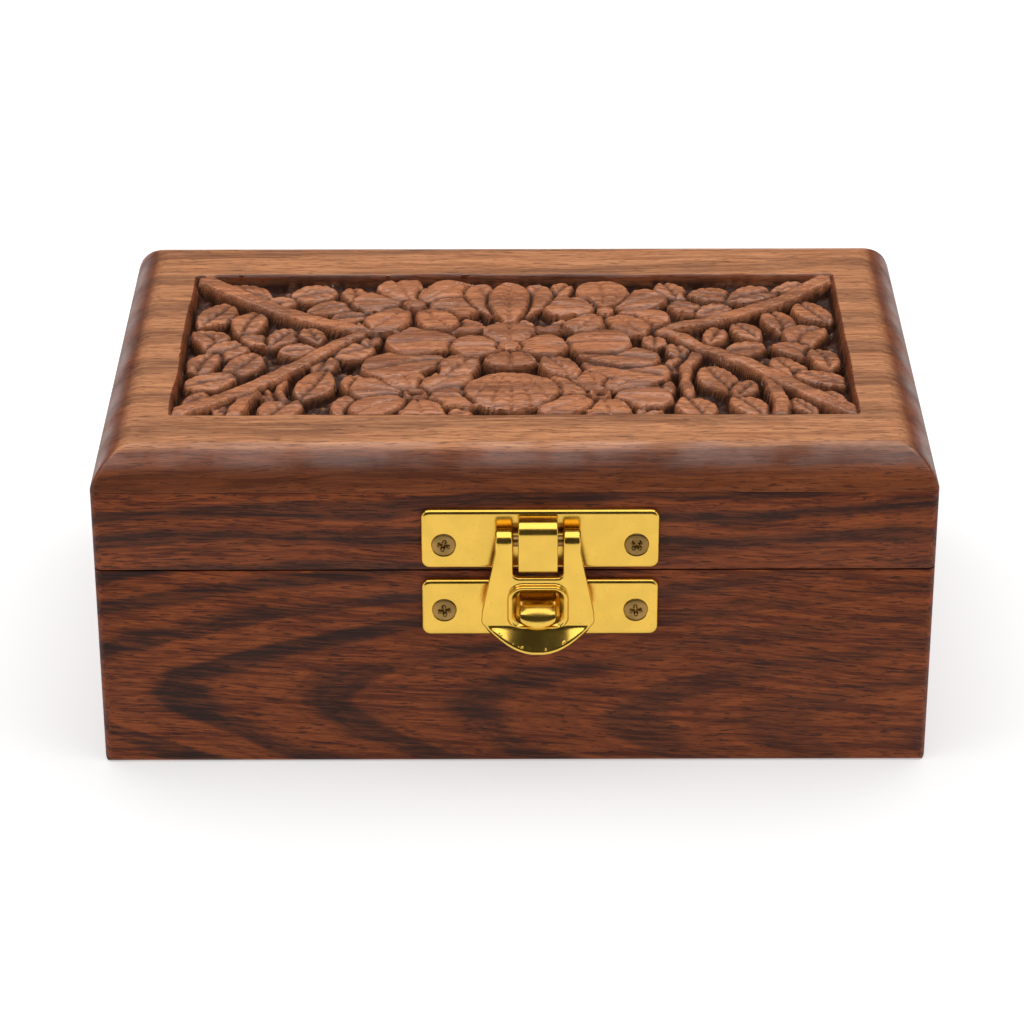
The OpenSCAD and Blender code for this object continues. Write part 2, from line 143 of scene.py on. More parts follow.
soft_light("overhead cloth", (0, 0.15, 0.95), (0, 0.15, 0), width=1.7, height=1.5, watts=15.5)
for side, panel in ((-1, "left panel"), (1, "right panel")):
    soft_light(panel, (side * PANEL_OUT, -0.35, 0.30), (0, 0, 0.03), width=0.5, height=0.9,
               watts=1.4)

room = bpy.data.worlds.new("dim room")
room.use_nodes = True
walls = room.node_tree.nodes["Background"]
walls.inputs["Color"].default_value = (1, 1, 1, 1)
walls.inputs["Strength"].default_value = ROOM_GLOW
scene.world = room

# %% [markdown]
# ## Tools of the workshop
#
# Most pieces below are closed meshes made from arrays of points. One helper turns points and faces
# into an object. Another parents the finished object to its CAD body, hides the CAD nodes it stands
# for, and prints how many of its edges don't join two faces. A sound piece has none, since real wood
# and brass have no open skin.

# %% Helpers for objects


def make_piece(name, points_mm, faces, material, sharp_degrees=None):
    """A mesh object at the origin whose points are given in millimetres."""
    mesh = bpy.data.meshes.new(name)
    mesh.from_pydata((np.asarray(points_mm, float) * MM).tolist(), [], [list(f) for f in faces])
    shell = bmesh.new()
    shell.from_mesh(mesh)
    bmesh.ops.recalc_face_normals(shell, faces=shell.faces)
    shell.to_mesh(mesh)
    shell.free()
    mesh.validate()
    mesh.materials.append(material)
    mesh.shade_smooth()
    if sharp_degrees is not None:
        mesh.set_sharp_from_angle(angle=math.radians(sharp_degrees))
    piece = bpy.data.objects.new(name, mesh)
    scene.collection.objects.link(piece)
    return piece


def faces_on_edges(piece):
    """How many faces meet at each edge."""
    count = np.zeros(len(piece.data.edges), int)
    index = np.zeros(len(piece.data.loops), int)
    piece.data.loops.foreach_get("edge_index", index)
    np.add.at(count, index, 1)
    return count


def settle(piece, body, slot, *nodes):
    """Parents a finished piece to its body and hides the CAD nodes it stands for. The slot is not
    used.
    """
    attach(piece, body)
    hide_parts(*nodes)
    open_edges = int(np.count_nonzero(faces_on_edges(piece) != 2))
    print(f"{piece.name}: {len(piece.data.polygons)} faces, {open_edges} open edges")


# %% [markdown]
# A finish is a tree of small steps: measure a place, look up a noise, mix two colours. These
# helpers let each step be written on one line, so that the trees below read like a recipe.

# %% Helpers for node trees


def node(tree, kind, inputs=None, **settings):
    """A new node with its settings, and its inputs given as values or as sockets to link."""
    made = tree.nodes.new(kind)
    for key, value in settings.items():
        setattr(made, key, value)
    for key, value in (inputs or {}).items():
        if isinstance(value, bpy.types.NodeSocket):
            tree.links.new(value, made.inputs[key])
        else:
            made.inputs[key].default_value = value
    return made


def calc(tree, operation, *values):
    """The result socket of one Math node."""
    inputs = {i: v for i, v in enumerate(values)}
    return node(tree, "ShaderNodeMath", inputs, operation=operation).outputs[0]


def fade(tree, value, start, end):
    """0 below start, 1 above end, smooth between."""
    inputs = {"Value": value, "From Min": start, "From Max": end}
    made = node(tree, "ShaderNodeMapRange", inputs, interpolation_type="SMOOTHSTEP")
    return made.outputs["Result"]


def blend_colour(tree, share, first, second, mode="MIX"):
    """The first colour where share is 0 and the second where it is 1."""
    made = node(tree, "ShaderNodeMix", data_type="RGBA", blend_type=mode)
    for socket, value in ((made.inputs["Factor"], share), (made.inputs[6], first),
                          (made.inputs[7], second)):
        if isinstance(value, bpy.types.NodeSocket):
            tree.links.new(value, socket)
        else:
            socket.default_value = value
    return made.outputs[2]


def new_group(name, inputs, outputs):
    """A shader node group with named sockets. Returns the tree and its input sockets."""
    tree = bpy.data.node_groups.new(name, "ShaderNodeTree")
    for label, kind, value in inputs:
        socket = tree.interface.new_socket(label, in_out="INPUT", socket_type=kind)
        if value is not None:
            socket.default_value = value
    for label, kind in outputs:
        tree.interface.new_socket(label, in_out="OUTPUT", socket_type=kind)
    return tree, tree.nodes.new("NodeGroupInput").outputs


def new_material(name):
    """A node material. Returns it with its tree and its Principled BSDF."""
    made = bpy.data.materials.new(name)
    made.use_nodes = True
    return made, made.node_tree, made.node_tree.nodes["Principled BSDF"]


# %% [markdown]
# ## Floor
#
# The box stands on a wide white sheet. The sheet glows a little, as paper lit from below does,
# so that the box's shadow stays small and soft.

# %% Floor
PAPER_GREY = 0.72
PAPER_GLOW = 0.42
PAPER_CORNERS = [(-3, -2, 0), (3, -2, 0), (3, 4, 0), (-3, 4, 0)]

paper, paper_tree, paper_shader = new_material("white paper floor")
paper_shader.inputs["Base Color"].default_value = (PAPER_GREY,) * 3 + (1,)
paper_shader.inputs["Roughness"].default_value = 0.9
paper_shader.inputs["Specular IOR Level"].default_value = 0.0
paper_shader.inputs["Emission Color"].default_value = (1, 1, 1, 1)
paper_shader.inputs["Emission Strength"].default_value = PAPER_GLOW

sheet = bpy.data.meshes.new("floor")
sheet.from_pydata(PAPER_CORNERS, [], [(0, 1, 2, 3)])
sheet.materials.append(paper)
floor = bpy.data.objects.new("floor", sheet)
scene.collection.objects.link(floor)
print("floor", floor.dimensions[0], "by", floor.dimensions[1], "m")

# %% [markdown]
# ## Rosewood
#
# Rosewood is brown with dark layers. In a trunk the layers are cones, one inside another, so a
# board cut near the heart shows arches on its face and rings on its end. The group below is
# that trunk: it measures how far a point lies from the heart, less a share of its distance
# along the grain, and looks the colour of that layer up. Because the pattern fills space, every
# edge and end of a board agrees with its face. Fine streaks and the short dark pores of the
# wood follow the grain.

# %% Sockets of the rosewood figure
figure, figure_in = new_group(
    "rosewood figure",
    [
        ("Vector", "NodeSocketVector", None),
        ("Cone", "NodeSocketFloat", 0.2),
        ("Wander", "NodeSocketFloat", 3.0),
        ("Layer Seed", "NodeSocketFloat", 0.0),
        ("Layer Spacing", "NodeSocketFloat", 5.4),
        ("Layer Shift", "NodeSocketFloat", 0.0),
        ("Layers", "NodeSocketFloat", 1.0),
        ("Rings", "NodeSocketFloat", 0.45),
        ("Streaks", "NodeSocketFloat", 1.0),
        ("Pores", "NodeSocketFloat", 1.0),
        ("Light", "NodeSocketColor", (0.31, 0.072, 0.016, 1)),
        ("Middle", "NodeSocketColor", (0.112, 0.021, 0.006, 1)),
        ("Dark", "NodeSocketColor", (0.026, 0.0085, 0.0055, 1)),
    ],
    [("Color", "NodeSocketColor"), ("Height", "NodeSocketFloat")],
)
# Noise cells per millimetre: along the grain, then across it twice
DRIFT_CELLS = (0.022, 0.075, 0.075)
SMUDGE_CELLS = (0.035, 0.16, 0.16)
STREAK_CELLS = (0.045, 0.9, 0.9)
HAIR_CELLS = (0.16, 3.6, 3.6)
PORE_CELLS = (0.34, 3.6, 3.6)


def vector_calc(tree, operation, first, second):
    """The result socket of one Vector Math node."""
    inputs = {0: first, 1: second}
    return node(tree, "ShaderNodeVectorMath", inputs, operation=operation).outputs[0]


def grain_noise(tree, vector, cells, detail, roughness=0.55):
    """Noise drawn out along the grain."""
    inputs = {"Vector": vector_calc(tree, "MULTIPLY", vector, cells), "Scale": 1.0,
              "Detail": detail, "Roughness": roughness}
    return node(tree, "ShaderNodeTexNoise", inputs).outputs


print("rosewood figure takes:", [socket.name for socket in figure_in if socket.name])

# %% [markdown]
# The tree grew unevenly, so a slow drift bends every layer and every fibre in the same way. The
# drift only moves wood across the grain. What follows is the distance from the heart less a
# share of the distance along the grain, which makes the layers cones.

# %% Where a point lies in the trunk
DRIFT_REACH = (0.0, 2.0, 2.0)

drift = grain_noise(figure, figure_in["Vector"], DRIFT_CELLS, 2.0)["Color"]
drift_mm = vector_calc(figure, "MULTIPLY", vector_calc(figure, "SUBTRACT", drift, (0.5,) * 3),
                       DRIFT_REACH)
drifted = node(figure, "ShaderNodeVectorMath", {0: drift_mm, "Scale": figure_in["Wander"]},
               operation="SCALE").outputs[0]
place = vector_calc(figure, "ADD", figure_in["Vector"], drifted)
along, beside, above = node(figure, "ShaderNodeSeparateXYZ", {0: place}).outputs
radius = calc(figure, "SQRT", calc(figure, "ADD", calc(figure, "POWER", beside, 2.0),
                                   calc(figure, "POWER", above, 2.0)))
layer_mm = calc(figure, "SUBTRACT", radius, calc(figure, "MULTIPLY", along, figure_in["Cone"]))
print("trunk tree:", len(figure.nodes), "nodes so far")

# %% [markdown]
# The dark layers come in two rhythms: broad ones every few millimetres, as wet and dry years
# leave them, and fine ones between. A wide smudge keeps any layer from being equally dark along
# its whole length.

# %% The dark layers
BROAD_PACE = 0.19
FINE_PACE = 0.9
BROAD_WEIGHT = 0.55
RHYTHM_WEIGHT = 0.72
FINE_WEIGHT = 0.30
SMUDGE_WEIGHT = 1.15


def layer_noise(pace, detail, roughness):
    """Noise that changes from layer to layer only."""
    step = calc(figure, "ADD", calc(figure, "MULTIPLY", layer_mm, pace), figure_in["Layer Seed"])
    inputs = {"W": step, "Scale": 1.0, "Detail": detail, "Roughness": roughness}
    return node(figure, "ShaderNodeTexNoise", inputs, noise_dimensions="1D").outputs["Fac"]


broad = layer_noise(BROAD_PACE, 1.5, 0.5)
fine = layer_noise(FINE_PACE, 2.0, 0.6)
smudge = grain_noise(figure, place, SMUDGE_CELLS, 3.0)["Fac"]
shifted = calc(figure, "SUBTRACT", layer_mm, figure_in["Layer Shift"])
turn_of = calc(figure, "MULTIPLY", calc(figure, "DIVIDE", shifted, figure_in["Layer Spacing"]),
               math.tau)
rhythm = calc(figure, "ADD", calc(figure, "MULTIPLY", calc(figure, "COSINE", turn_of), 0.5), 0.5)
regular = calc(figure, "ADD", calc(figure, "MULTIPLY", broad, BROAD_WEIGHT),
               calc(figure, "MULTIPLY", rhythm, RHYTHM_WEIGHT))
uneven = calc(figure, "ADD", calc(figure, "MULTIPLY", fine, FINE_WEIGHT),
              calc(figure, "MULTIPLY", smudge, SMUDGE_WEIGHT))
darkness = calc(figure, "ADD", regular, uneven)
layer_share = calc(figure, "MULTIPLY", fade(figure, darkness, 1.24, 1.68), figure_in["Layers"])
ring_mask = calc(figure, "MULTIPLY", fade(figure, fine, 0.42, 0.62), figure_in["Rings"])
print("layer tree:", len(figure.nodes), "nodes so far")

# %% [markdown]
# The fibres show as streaks, and the dark layers break up into the same streaks. The pores of
# rosewood are open tubes, cut through as short dark dashes. They take the wax badly and lie a
# little deep, so they darken the colour and lower the surface.

# %% Streaks, pores and colour
STREAK_SHARE = 0.65
LAYER_FLOOR = 0.62
PORE_DEPTH = 0.75
HAIR_LIFT = 0.35

streak = grain_noise(figure, place, STREAK_CELLS, 5.0, 0.65)["Fac"]
hair = grain_noise(figure, place, HAIR_CELLS, 3.0, 0.65)["Fac"]
streaks = calc(figure, "ADD", calc(figure, "MULTIPLY", streak, STREAK_SHARE),
               calc(figure, "MULTIPLY", hair, 1 - STREAK_SHARE))
streak_mask = calc(figure, "MULTIPLY", fade(figure, streaks, 0.40, 0.60), figure_in["Streaks"])
broken = calc(figure, "ADD", LAYER_FLOOR, calc(figure, "MULTIPLY", streak_mask, 1 - LAYER_FLOOR))
layer_mask = calc(figure, "MULTIPLY", layer_share, broken)
pore = grain_noise(figure, place, PORE_CELLS, 2.0, 0.5)["Fac"]
pore_mask = calc(figure, "MULTIPLY", fade(figure, pore, 0.57, 0.65), figure_in["Pores"])

shade = calc(figure, "MAXIMUM", streak_mask, ring_mask)
ground = blend_colour(figure, shade, figure_in["Light"], figure_in["Middle"])
layered = blend_colour(figure, layer_mask, ground, figure_in["Dark"])
pored = blend_colour(figure, calc(figure, "MULTIPLY", pore_mask, PORE_DEPTH), layered,
                     figure_in["Dark"])
fibre_height = calc(figure, "SUBTRACT", calc(figure, "MULTIPLY", hair, HAIR_LIFT), pore_mask)
node(figure, "NodeGroupOutput", {"Color": pored, "Height": fibre_height})
print("rosewood figure:", len(figure.nodes), "nodes")

# %% [markdown]
# ## Wax
#
# The finish is wax rubbed in by hand. Surfaces that face up were rubbed and handled most, so
# they carry a thin coat and the rest is nearly matt. The coat is blotchy, because no hand rubs
# evenly.

# %% Hand polish
BLOTCH_CELLS = 120.0
WAXED_ROUGHNESS = 0.42
BLOTCH_ROUGHNESS = 0.22

polish, polish_in = new_group(
    "hand polish",
    [("Fac", "NodeSocketFloat", 0.5)],
    [("Coat", "NodeSocketFloat"), ("Roughness", "NodeSocketFloat"), ("Painted Top Light", "NodeSocketFloat")],
)
facing = node(polish, "ShaderNodeNewGeometry").outputs["Normal"]
upness = node(polish, "ShaderNodeSeparateXYZ", {0: facing}).outputs[2]
rubbed = fade(polish, upness, 0.15, 0.85)
own_place = node(polish, "ShaderNodeTexCoord").outputs["Object"]
blotch = node(polish, "ShaderNodeTexNoise", {
    "Vector": own_place, "Scale": BLOTCH_CELLS, "Detail": 3.0}).outputs["Fac"]
node(polish, "NodeGroupOutput", {
    "Coat": calc(polish, "MULTIPLY", calc(polish, "MULTIPLY", rubbed, polish_in["Fac"]),
                 fade(polish, blotch, 0.25, 0.65)),
    "Roughness": calc(polish, "ADD", WAXED_ROUGHNESS,
                      calc(polish, "MULTIPLY", blotch, BLOTCH_ROUGHNESS)),
    # Painted light: 1 where the surface faces up, so that the plank's shoulder can be painted darker
    # as painted shade.
    "Painted Top Light": fade(polish, upness, 0.86, 0.985),
})
print("hand polish:", len(polish.nodes), "nodes")

# %% [markdown]
# Each board is cut from another place in the trunk. A material says where the heart lies, how
# fast the cones narrow and how dark the wood is. The front board grows calmer towards its right
# end, as the arches there run out into straight grain.

# %% Materials of the boards
BOARD_WAX = 0.5
PORE_BUMP = 0.35
PORE_BUMP_DEPTH = 0.12 * MM
CALM_FROM = -20 * MM
CALM_TO = 45 * MM


def rosewood(name, heart, turn_z=0.0, tilt=(0.0, 0.0), calmer_right=False, **values):
    """A board's material. heart is the place of the heart in mm, turn_z turns the grain."""
    made, tree, shader = new_material(name)
    where = node(tree, "ShaderNodeTexCoord").outputs["Object"]
    centre = node(tree, "ShaderNodeMapping", {
        "Vector": where, "Location": [-c for c in heart],
        "Scale": (1 / MM,) * 3}, vector_type="POINT")
    turned = node(tree, "ShaderNodeVectorRotate", {
        "Vector": centre.outputs[0], "Rotation": (tilt[0], tilt[1], turn_z)},
        rotation_type="EULER_XYZ").outputs[0]
    wood = node(tree, "ShaderNodeGroup", node_tree=figure)
    tree.links.new(turned, wood.inputs["Vector"])
    for key, value in values.items():
        wood.inputs[key.replace("_", " ")].default_value = value
    if calmer_right:
        across_board = node(tree, "ShaderNodeSeparateXYZ", {0: where}).outputs[0]
        calm = node(tree, "ShaderNodeMapRange", {
            "Value": across_board, "From Min": CALM_FROM, "From Max": CALM_TO, "To Min": 1.0,
            "To Max": 0.5})
        tree.links.new(calm.outputs["Result"], wood.inputs["Layers"])
    wax = node(tree, "ShaderNodeGroup", {"Fac": BOARD_WAX}, node_tree=polish)
    bump = node(tree, "ShaderNodeBump", {
        "Height": wood.outputs["Height"], "Strength": PORE_BUMP, "Distance": PORE_BUMP_DEPTH})
    tree.links.new(wood.outputs["Color"], shader.inputs["Base Color"])
    tree.links.new(bump.outputs["Normal"], shader.inputs["Normal"])
    tree.links.new(wax.outputs["Coat"], shader.inputs["Coat Weight"])
    tree.links.new(wax.outputs["Roughness"], shader.inputs["Roughness"])
    shader.inputs["Specular IOR Level"].default_value = 0.22
    shader.inputs["Coat Roughness"].default_value = 0.3
    return made


front_wood = rosewood("rosewood, base front", (-60, -62, 15.0), tilt=(0.0, -0.07), Cone=0.2,
                      calmer_right=True, Layer_Shift=12.0, Layer_Seed=2.3, Wander=1.6)
lid_front_wood = rosewood("rosewood, lid front", (-60, -90, 10), Cone=0.04, Layer_Seed=3.0,
                          Layer_Spacing=4.4, Layers=0.85)
back_wood = rosewood("rosewood, back", (20, 60, -14), Cone=0.14, Layer_Seed=7.0,
                     Layer_Spacing=7.5, Layers=0.8)
side_wood = rosewood("rosewood, sides", (0, 20, -22), turn_z=math.pi / 2, Cone=0.08,
                     Layer_Seed=11.0, Layer_Spacing=8.0, Layers=0.7)
inner_wood = rosewood("rosewood, floor", (0, 0, -30), Cone=0.1, Layer_Seed=15.0,
                      Layer_Spacing=9.0, Layers=0.6)
print("wood materials:", [m.name for m in bpy.data.materials if "rosewood" in m.name])

# %% [markdown]
# ## The boards
#
# Every board keeps the outline the joiner sawed and gains what sandpaper does to it: each edge
# is eased by about a third of a millimetre. The CAD mesh is copied, its doubled points merged
# and its flat triangles joined, and then its sharp edges are rounded.

# %% Ease the edges of the boards
BOARD_EASE = 0.35
MERGE_REACH = 0.002 * MM
FLAT_ANGLE = math.radians(0.5)
CORNER_ANGLE = math.radians(28)
CREASE_ANGLE = math.radians(32)


def eased_copy(name, node_name, material, ease_mm):
    """A copy of a CAD node whose sharp edges are rounded."""
    soft = bmesh.new()
    soft.from_mesh(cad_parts[node_name].data)
    bmesh.ops.remove_doubles(soft, verts=soft.verts, dist=MERGE_REACH)
    bmesh.ops.dissolve_limit(soft, angle_limit=FLAT_ANGLE, verts=soft.verts, edges=soft.edges)
    corners = [e for e in soft.edges if e.is_manifold and e.calc_face_angle(0) > CORNER_ANGLE]
    bmesh.ops.bevel(soft, geom=corners, offset=ease_mm * MM, segments=2, profile=0.5,
                    affect="EDGES", clamp_overlap=True)
    bmesh.ops.remove_doubles(soft, verts=soft.verts, dist=MERGE_REACH / 2)
    bmesh.ops.triangulate(soft, faces=[f for f in soft.faces if len(f.verts) > 4])
    bmesh.ops.recalc_face_normals(soft, faces=soft.faces)
    mesh = bpy.data.meshes.new(name)
    soft.to_mesh(mesh)
    soft.free()
    mesh.materials.append(material)
    mesh.shade_smooth()
    mesh.set_sharp_from_angle(angle=CREASE_ANGLE)
    piece = bpy.data.objects.new(name, mesh)
    scene.collection.objects.link(piece)
    return piece


for board, body, timber in (
    ("base_front_board", "base", front_wood),
    ("base_back_board", "base", back_wood),
    ("base_left_board", "base", side_wood),
    ("base_right_board", "base", side_wood),
    ("base_floor", "base", inner_wood),
    ("lid_front_rail", "lid", lid_front_wood),
    ("lid_back_rail", "lid", back_wood),
    ("lid_left_rail", "lid", side_wood),
    ("lid_right_rail", "lid", side_wood),
):
    settle(eased_copy(board + "_eased", board, timber, BOARD_EASE), body, "rosewood", board)

# %% [markdown]
# ## The carved plank
#
# The carver draws flowers, leaves and branches on the plank, cuts straight down round each one
# and then clears the ground between them. What is left is a relief: flat tops, steep walls and
# a rough dark ground. A height map is the honest model of that, since nothing is undercut. It
# starts as bare ground, and each motif is set into it in turn, from the lowest to the highest.
# Setting a motif also cuts a thin groove round it, as the carver's outline does.

# %% Blank of the carving
CELLS_X = 352
CELLS_Y = 180
SIDE_STEP = 4
FIELD_X = 62.9
FIELD_FRONT = -32.9
FIELD_BACK = 31.9
GROUND_Z = 58.6
WALL_RUN = 0.75
LEAF_TOP = 60.9
PETAL_TOP = 61.5
EDGE_X = 61.5
EDGE_FRONT = -31.5
EDGE_BACK = 30.5
GROOVE_DEPTH = 1.3
GROOVE_REACH = 0.4

grid_x = np.linspace(-FIELD_X, FIELD_X, CELLS_X + 1)
grid_y = np.linspace(FIELD_FRONT, FIELD_BACK, CELLS_Y + 1)
X, Y = np.meshgrid(grid_x, grid_y)


def ripple(seed, wavelength, count=20):
    """Smooth seeded unevenness over the field, about -1 to 1."""
    dice = np.random.default_rng(seed)
    total = np.zeros_like(X)
    for turn, phase, stretch in dice.uniform(0, 1, (count, 3)):
        pace = math.tau / (wavelength * (0.7 + 0.7 * stretch))
        along = X * math.cos(turn * math.tau) + Y * math.sin(turn * math.tau)
        total += np.sin(pace * along + phase * math.tau)
    return total / math.sqrt(count)


WAVER = ripple(5, 6.0)
TOOL_MARKS = ripple(6, 1.7)
relief = GROUND_Z + 0.45 * ripple(1, 5.0) + 0.32 * ripple(2, 1.8)

# Distance inside the field's edge, which the carver cut by hand
inside_field = np.minimum(np.minimum(EDGE_X - np.abs(X), Y - EDGE_FRONT), EDGE_BACK - Y)
inside_field = inside_field + 0.16 * ripple(7, 22.0)


def set_motif(edge, top, surface, rim=0.6, rim_drop=0.28, gap=0.35):
    """Leaves a shape standing. edge is the distance inside its outline, in mm."""
    edge = np.minimum(edge, inside_field - gap)
    standing = top + surface - rim_drop * np.clip(1 - edge / rim, 0, 1) ** 2
    groove = GROOVE_DEPTH * np.exp(-(np.minimum(edge, 0) / GROOVE_REACH) ** 2) * (inside_field > 0)
    cover = np.clip(0.5 + edge / WALL_RUN, 0, 1) * (inside_field > 0)
    relief[:] = cover * standing + (1 - cover) * (relief - groove)


print("field", CELLS_X, "by", CELLS_Y, "cells, ground at", GROUND_Z)

# %% [markdown]
# The carver repeats five motifs. A leaf is two arcs that meet in points, with a midrib and side
# veins cut by a small parting tool. A petal is rounder and has grooves that fan out from its
# root. A boss is a button left standing, and a flower is petals round a boss. A branch is a
# strip that bends from point to point, with bark lines along it.

# %% Motifs
MIDRIB_WIDTH = 0.34
MIDRIB_DEPTH = 0.6
VEIN_SPACING = 2.3
VEIN_DEPTH = 0.24
LEAF_TILT = 0.28
PETAL_GROOVE = 0.55
BARK_SPACING = 1.25
BARK_DEPTH = 0.10
BRANCH_TOP = 61.35


def local_frame(x, y, bearing):
    """Distances along and across a direction, given in degrees from the right."""
    turn = math.radians(bearing)
    along = (X - x) * math.cos(turn) + (Y - y) * math.sin(turn)
    beside = (Y - y) * math.cos(turn) - (X - x) * math.sin(turn)
    return along, beside


def leaf(x, y, length, width, bearing, top=LEAF_TOP, bend=0.0):
    """A pointed leaf with a midrib and side veins."""
    a, b = 0.53 * length, 0.54 * width
    along, beside = local_frame(x, y, bearing)
    beside = beside - bend * b * (along / a) ** 2
    arc = (a * a + b * b) / (2 * b)
    edge = arc - np.hypot(along, np.abs(beside) + arc - b) + 0.12 * WAVER
    midrib = np.exp(-(beside / MIDRIB_WIDTH) ** 2)
    veins = np.clip(np.cos(math.tau * (along - 0.9 * np.abs(beside)) / VEIN_SPACING), 0, 1) ** 3
    cuts = MIDRIB_DEPTH * midrib + VEIN_DEPTH * veins
    droop = 0.2 * (along / a) ** 2
    set_motif(edge, top, LEAF_TILT * beside / b - cuts - droop + 0.06 * TOOL_MARKS)


def petal(x, y, length, width, bearing, top=PETAL_TOP, grooves=3, tip=0.2):
    """A rounded petal, wider at its tip, with grooves that fan out from its root."""
    a, b = length / 2, width / 2
    along, beside = local_frame(x, y, bearing)
    spread = b * (1 + tip * np.clip(along / a, -1, 1))
    size = np.hypot(along / a, beside / spread) + 1e-6
    steepness = np.hypot(along / a**2, beside / spread**2) / size + 1e-6
    edge = (1 - size) / steepness + 0.15 * WAVER
    fan = np.arctan2(beside, along + 1.6 * a)
    lines = np.clip(np.cos(fan * grooves * 5.5), 0, 1) ** 6
    root = np.clip(-along / a, 0, 1)
    cuts = PETAL_GROOVE * lines * (size < 0.88)
    droop = 0.45 * root**2 + 0.14 * size**2
    set_motif(edge, top, 0.06 * TOOL_MARKS - cuts - droop)


def boss(x, y, size, top, hole=0.0):
    """A round button, with a punched hole if hole is given."""
    away = np.hypot(X - x, Y - y)
    set_motif(size - away + 0.08 * WAVER, top, 0.05 * TOOL_MARKS)
    relief[:] -= 0.5 * np.exp(-((away - size * 0.6) / 0.28) ** 2)
    if hole:
        relief[:] -= 2.2 * np.exp(-(away / hole) ** 4)


def flower(x, y, petals, heart, hole=0.0):
    """Petals round a heart. Each petal is given by its middle and its width."""
    for px, py, width in petals:
        bearing = math.degrees(math.atan2(py - y, px - x))
        length = 1.5 * math.hypot(px - x, py - y)
        petal(px, py, length, 1.12 * width, bearing)
    boss(x, y, heart, PETAL_TOP + 0.05, hole)


def branch(points, width, top=BRANCH_TOP, taper=1.0):
    """A branch through its points, with bark lines along it."""
    edge = np.full_like(X, -1e3)
    lines = np.zeros_like(X)
    for k, ((ax, ay), (bx, by)) in enumerate(zip(points, points[1:])):
        length = math.hypot(bx - ax, by - ay)
        share = np.clip(((X - ax) * (bx - ax) + (Y - ay) * (by - ay)) / length**2, 0, 1)
        away = np.hypot(X - ax - share * (bx - ax), Y - ay - share * (by - ay))
        half = width / 2 * (1 - (1 - taper) * (k + share) / (len(points) - 1))
        here = half - away
        lines = np.where(here > edge, away, lines)
        edge = np.maximum(edge, here)
    bark = np.cos(math.tau * lines / BARK_SPACING) * BARK_DEPTH
    edge = edge + 0.16 * WAVER
    lift = np.clip(1 - inside_field / 8, 0, 1) * (TOP_Z - top)
    set_motif(edge, top, bark + lift + 0.07 * TOOL_MARKS, rim=0.9, rim_drop=0.35, gap=-5.0)


print("motifs: leaf, petal, boss, flower and branch")

# %% [markdown]
# ### The design
#
# The design is nearly the same on both sides of a tulip in the middle. Four branches come in
# from the corners. Between them stand leaves in twos and threes, four flowers, and two pairs of
# broad petals that face each other across the centre. The leaves go in first, since they are
# the lowest, then the border, the branches and the flowers.

# %% Leaves and the border
# Each leaf: middle in x and y, length, width, bearing in degrees, bend
LEAVES = (
    # left, behind the branches
    (-52, 25.5, 13, 7.5, 160, 0.3), (-38.5, 24.5, 10, 7, 20, 0), (-35, 18, 11, 7, 200, 0.2),
    (-56.5, 14.5, 12, 7, 62, 0.2), (-50.5, 11, 12, 6.5, 75, -0.2), (-57, 4, 10, 7, 120, 0.6),
    (-30.5, 24, 8, 5.5, 100, 0), (-45, 20.5, 7, 4.5, 10, 0), (-31, 13.5, 9, 4.5, 15, 0.2),
    # left, between the branches
    (-53.5, -1.5, 11, 6.5, 40, 0.2), (-58, -7.5, 11, 6, 75, -0.3), (-50, -8, 12, 6.5, 60, 0.2),
    (-56, -15.5, 11, 6.5, 25, 0.2), (-48, 3, 9, 5.5, 150, 0), (-43.5, 4.5, 9, 5.5, 60, 0),
    (-38, 5.5, 8, 5, 110, 0), (-40.5, -1.5, 8, 5, 10, 0), (-58, -23, 8, 4, 60, 0),
    # left, in front
    (-35.3, -7, 11, 5.5, 80, 0.2), (-30, -2, 9.5, 7, 30, 0.2), (-36.5, -17, 14, 7, 70, 0.2),
    (-42.5, -27, 10.5, 7.5, 60, 0), (-29.5, -26, 11, 7.5, 70, 0), (-29, -16.5, 9, 6, 100, 0),
    (-52, -26, 9, 4.5, 60, 0), (-45.5, -20.5, 7, 4, 110, 0), (-27, 3.5, 6, 4.5, 90, 0),
    # middle
    (-9, 27, 8, 5, 120, 0), (9, 26, 8, 5, 60, 0), (-10, -29, 6, 4, 20, 0),
    (6.5, -28.5, 6, 4, 160, 0), (-27.5, 10, 7, 4, 20, 0), (27.5, 20.5, 8, 5, 40, 0),
    (0, 10, 9, 4, 0, 0), (-9, 10.5, 8, 4.5, 160, 0), (9.5, 9.5, 8, 4.5, 20, 0),
    # right, behind the branches
    (30.5, 25.5, 10, 6.5, 110, 0), (38.5, 24, 10, 7, 160, 0.2), (46, 24, 11, 6.5, 25, -0.2),
    (53.5, 27.5, 9, 3.5, 30, 0), (33, 18, 9, 6, 150, 0), (38.5, 16.5, 8, 5, 30, 0),
    (57, 15.5, 12, 7, 118, -0.2), (50.5, 11.5, 12, 6.5, 105, 0.2), (54.5, 5, 11, 7.5, 60, -0.6),
    # right, between the branches
    (44, 7, 9, 6, 120, 0), (38, 5, 8, 5, 70, 0), (43.5, -1.5, 9, 5.5, 20, 0.2),
    (52.5, -1.5, 10, 6, 140, 0.2), (58, -5.5, 10, 6, 105, 0.3), (51, -10, 12, 6.5, 120, -0.2),
    (57, -14.5, 12, 6.5, 150, 0), (58.5, -22.5, 8, 4, 120, 0),
    # right, in front
    (31, -2, 10, 5, 100, 0.2), (30, -8.5, 8, 4.5, 60, 0), (37.5, -14.5, 13, 7.5, 112, -0.2),
    (27, -18, 8, 5.5, 80, 0), (33, -26.5, 10.5, 7.5, 110, 0), (24.5, -28, 7, 4.5, 40, 0),
    (43, -26, 11, 6.5, 120, 0.2), (52.5, -26, 9, 4.5, 120, 0), (42.5, -18.5, 8, 4.5, 60, 0),
    (26.5, 2.5, 6, 5, 90, 0),
)
